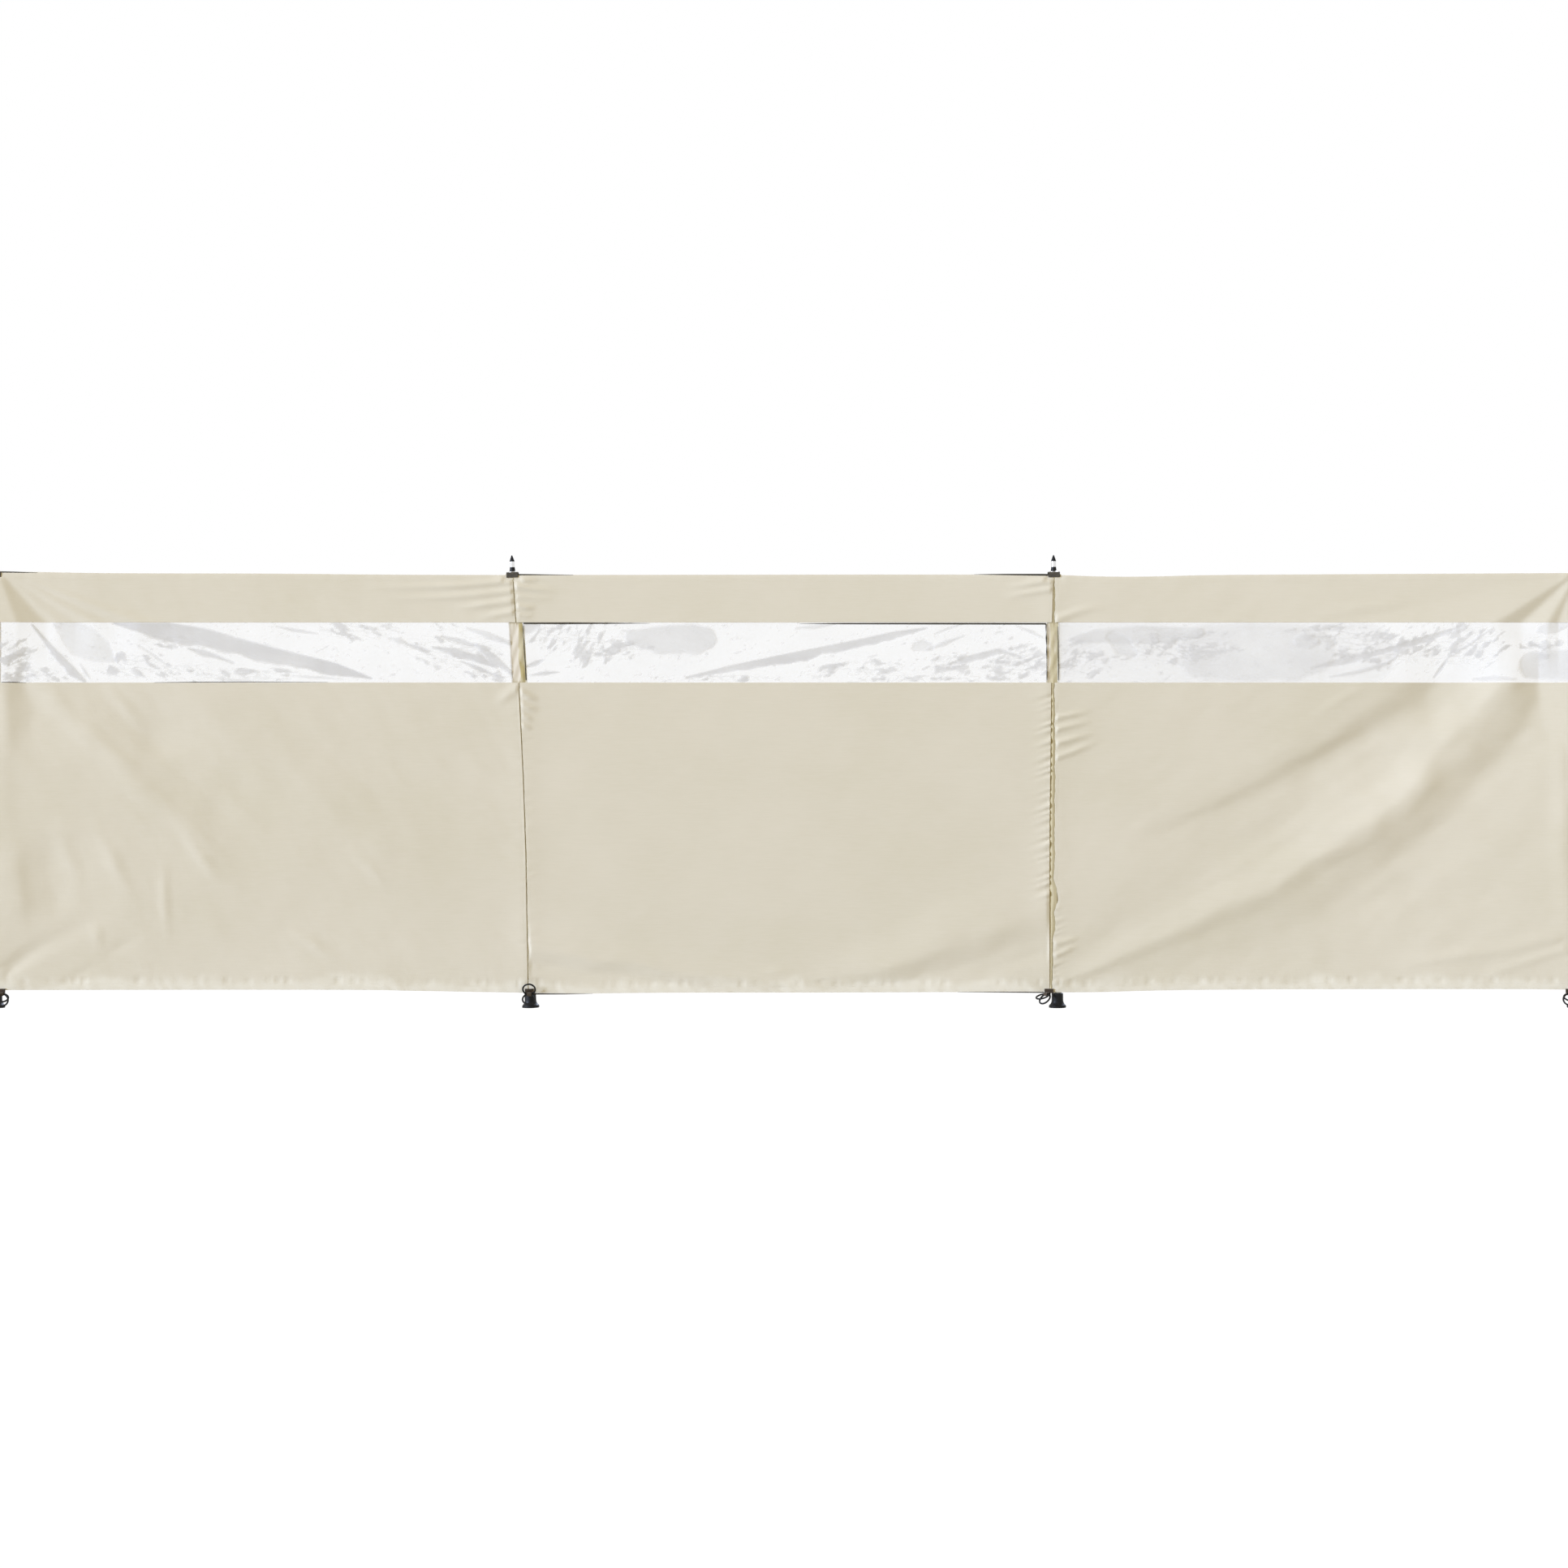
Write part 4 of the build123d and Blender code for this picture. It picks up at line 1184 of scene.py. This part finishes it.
def sleeve_strip(pole, heights):
    """The strip behind a seam, with painted light on its lit half and painted shade on its other half."""
    across = np.linspace(*STRIP_SIDES[pole], STRIP_COLUMNS)
    x = seam_x(pole, heights)[:, None] + across
    z = np.repeat(heights[:, None], STRIP_COLUMNS, axis=1)
    turn = STRIP_TURNS.get(pole, 0.0) * PIXEL
    in_window = smoothstep((z - WINDOW_BOTTOM) / STRIP_RISE) * smoothstep((WINDOW_TOP - z) / STRIP_RISE)
    roll = bell((across - turn - STRIP_ROLL_WIDTH) / STRIP_ROLL_WIDTH)
    lift = in_window * (STRIP_CRINKLE * ripple(STRIP_RIPPLE, z, across) + STRIP_ROLL * roll)
    if pole in SEAM_WELT:
        gape = seam_gape(pole, z)
        lift += (1 - in_window) * SEAM_WELT[pole] * bell((across - gape / 2) / (SEAM_WELT_SHARE * gape))
    border = turn + strays(x, z, STRIP_STRAY * PIXEL, STRIP_SEED, STRIP_GRAIN)
    # Painted light on the lit half, and painted highlights in blotches
    painted_light = smoothstep((border - across) / PIXEL + 0.5)
    painted_light = in_window * np.maximum(painted_light, blotches(x, z, *HIGHLIGHTS, HIGHLIGHT_SEED, STRIP_GRAIN))
    # Painted shade in blotches on the strip's other half
    painted_shade = STRIP_PAINTED_SHADE.get(pole, 0.0) * in_window * blotches(x, z, *SHADES, SHADE_SEED, STRIP_GRAIN)
    return thick(np.stack([x, STRIP_FRONT - lift, z], axis=2), CLOTH_THICKNESS), painted_light, painted_shade


def sleeve(pole):
    """A pole's sleeve: the strip behind the seam, and the tube that the pole slides through."""
    heights = np.linspace(HEM_Z, CLOTH_TOP, round((CLOTH_TOP - HEM_Z) / TUBE_ROW) + 1)
    tube, tube_painted_light = sleeve_tube(pole, heights)
    strip, painted_light, painted_shade = sleeve_strip(pole, heights)
    made = piece(pole + "_sleeve_cloth", *joined(tube, strip), SLEEVE, "cloth")
    attribute(made, "painted_light", tube_painted_light, painted_light)
    attribute(made, "painted_shade", np.zeros_like(tube_painted_light), painted_shade)
    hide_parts(pole + "_sleeve")


# Stitching

STITCH_PITCH = 4.2 * MM
STITCH_LENGTH = 3.0 * MM
STITCH_WIDTH = 0.7 * MM
HEM_STITCH = 17 * MM
BAND_STITCH = 5 * MM
SEAM_STITCH = 9 * MM
FORWARD = (0.0, -1.0, 0.0)


def stitches(points):
    """Small spindles of thread laid along places on the cloth."""
    steps = np.diff(points, axis=0)
    steps /= np.linalg.norm(steps, axis=1)[:, None]
    centres = (points[:-1] + points[1:]) / 2
    out = np.tile(FORWARD, (len(steps), 1))
    along, up, beside = STITCH_LENGTH * steps, STITCH_WIDTH * out, STITCH_WIDTH * np.cross(steps, out)
    arms = (-along, along, up, beside, -up, -beside)
    corners = np.stack([centres + arm / 2 for arm in arms], axis=1)
    spindle = [(0, a, b) for a, b in ((3, 2), (4, 3), (5, 4), (2, 5))]
    spindle += [(1, b, a) for _, a, b in spindle]
    faces = (np.arange(len(centres)) * len(arms))[:, None, None] + np.array(spindle)
    return corners.reshape(-1, 3), faces.reshape(-1, 3)


def bay_stitching(bay):
    """Rows of stitching on a bay: both hems, both edges of the window, and beside the seams."""
    rows = []
    beside_window = (WINDOW_TOP + BAND_STITCH, WINDOW_BOTTOM - BAND_STITCH)
    for height in (CLOTH_TOP - HEM_STITCH, *beside_window, HEM_Z + HEM_STITCH):
        left, right = (float(edge) for edge in bay_edges(bay, np.array(height)))
        x = np.arange(left + END_WRAP, right - END_WRAP, STITCH_PITCH)
        rows.append(stitches(on_cloth(bay, x, np.full_like(x, height))))
    from_left, from_right = (SEAM_STITCH + END_WRAP * (bay == end) for end in (0, len(BAYS) - 1))
    for low, high in ((HEM_Z, WINDOW_BOTTOM), (WINDOW_TOP, CLOTH_TOP)):
        z = np.arange(low + BAND_STITCH, high - BAND_STITCH, STITCH_PITCH)
        left, right = bay_edges(bay, z)
        for x in (left + from_left, right - from_right):
            rows.append(stitches(on_cloth(bay, x, z)))
    return piece(BAYS[bay] + "_stitching", *joined(*rows), THREAD, "cloth")


# Painted shadow lines: thin dark strips along some edges, where shade falls in gaps under the top band, along
# the hems and beside the films; points in the photograph with the half width there, in pixels

SHADOW_LINES = {}
SHADOW_LINES["left_bay"] = (
    ((-4, 704.6, 0.8), (20, 705, 0.7), (46, 705.6, 0.1)),
    ((2, 840.4, 0.3), (18, 840.6, 0.4), (32, 841, 0.1)),
    ((190, 840.8, 0.1), (240, 840.4, 0.4), (320, 840.2, 0.35), (404, 840.4, 0.1)),
)
SHADOW_LINES["centre_bay"] = (
    ((636, 708, 0.9), (660, 708, 0.6), (706, 708.4, 0.1)),
    ((1200, 707.6, 0.1), (1240, 707.8, 0.8), (1284, 708.2, 1.2), (1297, 708.4, 1.2)),
    ((645, 768, 0.9), (700, 768, 1.1), (752, 768, 0.7), (800, 768, 0.1)),
    ((985, 768.4, 0.1), (1040, 768.4, 0.8), (1150, 768.4, 1), (1289, 768.6, 1)),
    ((644.3, 771, 0.2), (645.6, 795, 0.4), (647, 815, 0.5), (648.3, 838, 0.6)),
    (
        (1288.8, 769, 0.7), (1288.9, 776, 0.5), (1289, 780, 0.15), (1289.2, 786, 0.9), (1289.4, 791, 0.6),
        (1289.5, 796, 0.15), (1289.6, 803, 0.8), (1289.7, 808, 0.4), (1289.8, 814, 0.1), (1290, 826, 0.3),
        (1290, 834, 0.6), (1290, 838, 0.2),
    ),
    ((655, 1224.6, 0.9), (690, 1224.8, 0.6), (730, 1224.6, 0.1)),
    ((1180, 1222.4, 0.1), (1230, 1222.4, 0.5), (1286, 1222.8, 0.7)),
)
SHADOW_LINES["right_bay"] = (
    ((1303.4, 772, 0.2), (1303.8, 796, 0.5), (1304, 818, 0.5), (1304.2, 838, 0.4)),
)
SHADOW_LINE_STEP = 6 * MM
SHADOW_LINE_THICKNESS = 0.6 * MM


def shadow_lines(bay):
    """Thin dark strips along a bay's edges, as painted shadow lines."""
    strips = []
    for points in SHADOW_LINES[BAYS[bay]]:
        points = np.asarray(points, float)
        path, halves = spots(points), points[:, 2] * PIXEL
        before = runs(path)
        at = np.linspace(0, before[-1], round(before[-1] / SHADOW_LINE_STEP) + 2)
        x, z, half = (np.interp(at, before, values) for values in (*path.T, halves))
        way = (path[-1] - path[0]) / np.linalg.norm(path[-1] - path[0])
        y = cloth_y(bay, x, np.clip(z, HEM_Z, CLOTH_TOP)) - SHADOW_LINE_THICKNESS
        line = np.stack([x, y, z], axis=1)
        across = np.array([-way[1], 0.0, way[0]]) * half[:, None]
        strips.append(thick(np.stack([line - across, line, line + across], axis=1), SHADOW_LINE_THICKNESS))
    return piece(BAYS[bay] + "_painted_shadow_lines", *joined(*strips), PAINTED_SHADOW, "webbing")


# Build the object

for pole in POLES:
    sleeve(pole)
for bay in range(len(BAYS)):
    trims = [bay_stitching(bay), shadow_lines(bay)]
    cloth_panel(bay, "_top_band", WINDOW_TOP, CLOTH_TOP)
    cloth_panel(bay, "_lower_panel", HEM_Z, WINDOW_BOTTOM)
    window_film(bay)

NODE_MATERIALS = {
    "_pole": STEEL,
    "_foot": PLASTIC,
    "_top_tab": WEBBING,
    "_spike": SPIKE,
    "_spike_cap": PLASTIC,
    "_peg_tab": TAB_WEBBING,
    "_peg_rings": RUBBER,
    "pole_plugs": PLASTIC,
    "eyelets": EYELET,
}
for name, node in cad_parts.items():
    for tail, material in NODE_MATERIALS.items():
        if name.endswith(tail):
            node.data.materials.clear()
            node.data.materials.append(material)
            node.data.polygons.foreach_set("use_smooth", [False] * len(node.data.polygons))

# Stage: white surroundings, a pale floor that keeps the shadow, soft light from the left

KEY_ANGLES = (62.0, 16.0)  # degrees to the left of the front, and above the horizon
KEY_STRENGTH = 4.0
KEY_SPREAD = 24.0
KEY_COLOUR = (0.83, 0.968, 1.293)
BACK_ANGLES = (205.0, 30.0)
BACK_STRENGTH = 1.9
BACK_COLOUR = (0.86, 0.97, 1.26)
AMBIENT_STRENGTH = 0.39
AMBIENT_COLOUR = (1.35, 1.015, 0.25, 1.0)
WHITE = (1, 1, 1, 1)
CAMERA_DISTANCE = 9.0
SENSOR = 36.0
FLOOR_HALF = 40.0
FLOOR_COLOUR = linear(188, 188, 187)
FLOOR_ROUGHNESS = 0.9
FLOOR_GLOW = 1.15
FLOOR_GLOW_SHARE = 0.82


def sun(name, left, above, strength, spread, colour):
    """A broad soft lamp that lights the whole run evenly."""
    lamp = bpy.data.lights.new(name, "SUN")
    lamp.energy, lamp.angle, lamp.color = strength, math.radians(spread), colour
    made = bpy.data.objects.new(name, lamp)
    left, above = math.radians(left), math.radians(above)
    towards = Vector((math.sin(left) * math.cos(above), math.cos(left) * math.cos(above), -math.sin(above)))
    made.rotation_euler = towards.to_track_quat("-Z", "Y").to_euler()
    bpy.context.scene.collection.objects.link(made)


def show(tree, own, seen, share, output):
    """Mixes in another shader where a surface is seen, and keeps its own for the light on the object."""
    rays = add(tree, "LightPath", {}).outputs
    direct = rays["Is Camera Ray"]
    for ray in ("Is Glossy Ray", "Is Transmission Ray"):
        direct = maths(tree, "MAXIMUM", direct, rays[ray])
    mix = add(tree, "MixShader", {0: maths(tree, "MULTIPLY", direct, share), 1: own, 2: seen})
    put(tree, tree.nodes[output].inputs["Surface"], mix.outputs["Shader"])


def surroundings():
    """White where it is seen, and a dimmer even light on the object."""
    world = bpy.data.worlds.new("studio")
    bpy.context.scene.world = world
    world.use_nodes = True
    tree = world.node_tree
    light = tree.nodes["Background"]
    put(tree, light.inputs["Color"], AMBIENT_COLOUR)
    put(tree, light.inputs["Strength"], AMBIENT_STRENGTH)
    white = add(tree, "Background", {"Color": WHITE})
    show(tree, light.outputs["Background"], white.outputs["Background"], 1, "World Output")


def floor():
    """A pale floor, white where nothing shades it."""
    mesh = bpy.data.meshes.new("floor")
    h = FLOOR_HALF
    mesh.from_pydata([(-h, -h, 0), (h, -h, 0), (h, h, 0), (-h, h, 0)], [], [(0, 1, 2, 3)])
    ground = Surface("floor", FLOOR_COLOUR, FLOOR_ROUGHNESS)
    glow = add(ground.tree, "Emission", {"Color": WHITE, "Strength": FLOOR_GLOW}).outputs["Emission"]
    show(ground.tree, ground.shader.outputs["BSDF"], glow, FLOOR_GLOW_SHARE, "Material Output")
    mesh.materials.append(ground.material)
    made = bpy.data.objects.new("floor", mesh)
    bpy.context.scene.collection.objects.link(made)


def camera():
    """Square to the front, with the photograph's frame across the cloth."""
    lens = bpy.data.cameras.new("camera")
    lens.sensor_width = SENSOR
    lens.lens = SENSOR * CAMERA_DISTANCE / (PHOTO_SIZE * PIXEL)
    lens.clip_end = 4 * FLOOR_HALF
    made = bpy.data.objects.new("camera", lens)
    middle_x, middle_z = float(column_x(PHOTO_SIZE / 2)), float(row_z(PHOTO_SIZE / 2))
    made.location = (middle_x, CLOTH_FRONT - CAMERA_DISTANCE, middle_z)
    made.rotation_euler = (math.pi / 2, 0, 0)
    bpy.context.scene.collection.objects.link(made)
    bpy.context.scene.camera = made


surroundings()
floor()
sun("key", *KEY_ANGLES, KEY_STRENGTH, KEY_SPREAD, KEY_COLOUR)
sun("back", *BACK_ANGLES, BACK_STRENGTH, KEY_SPREAD, BACK_COLOUR)
camera()
bpy.context.scene.view_settings.view_transform = "Standard"
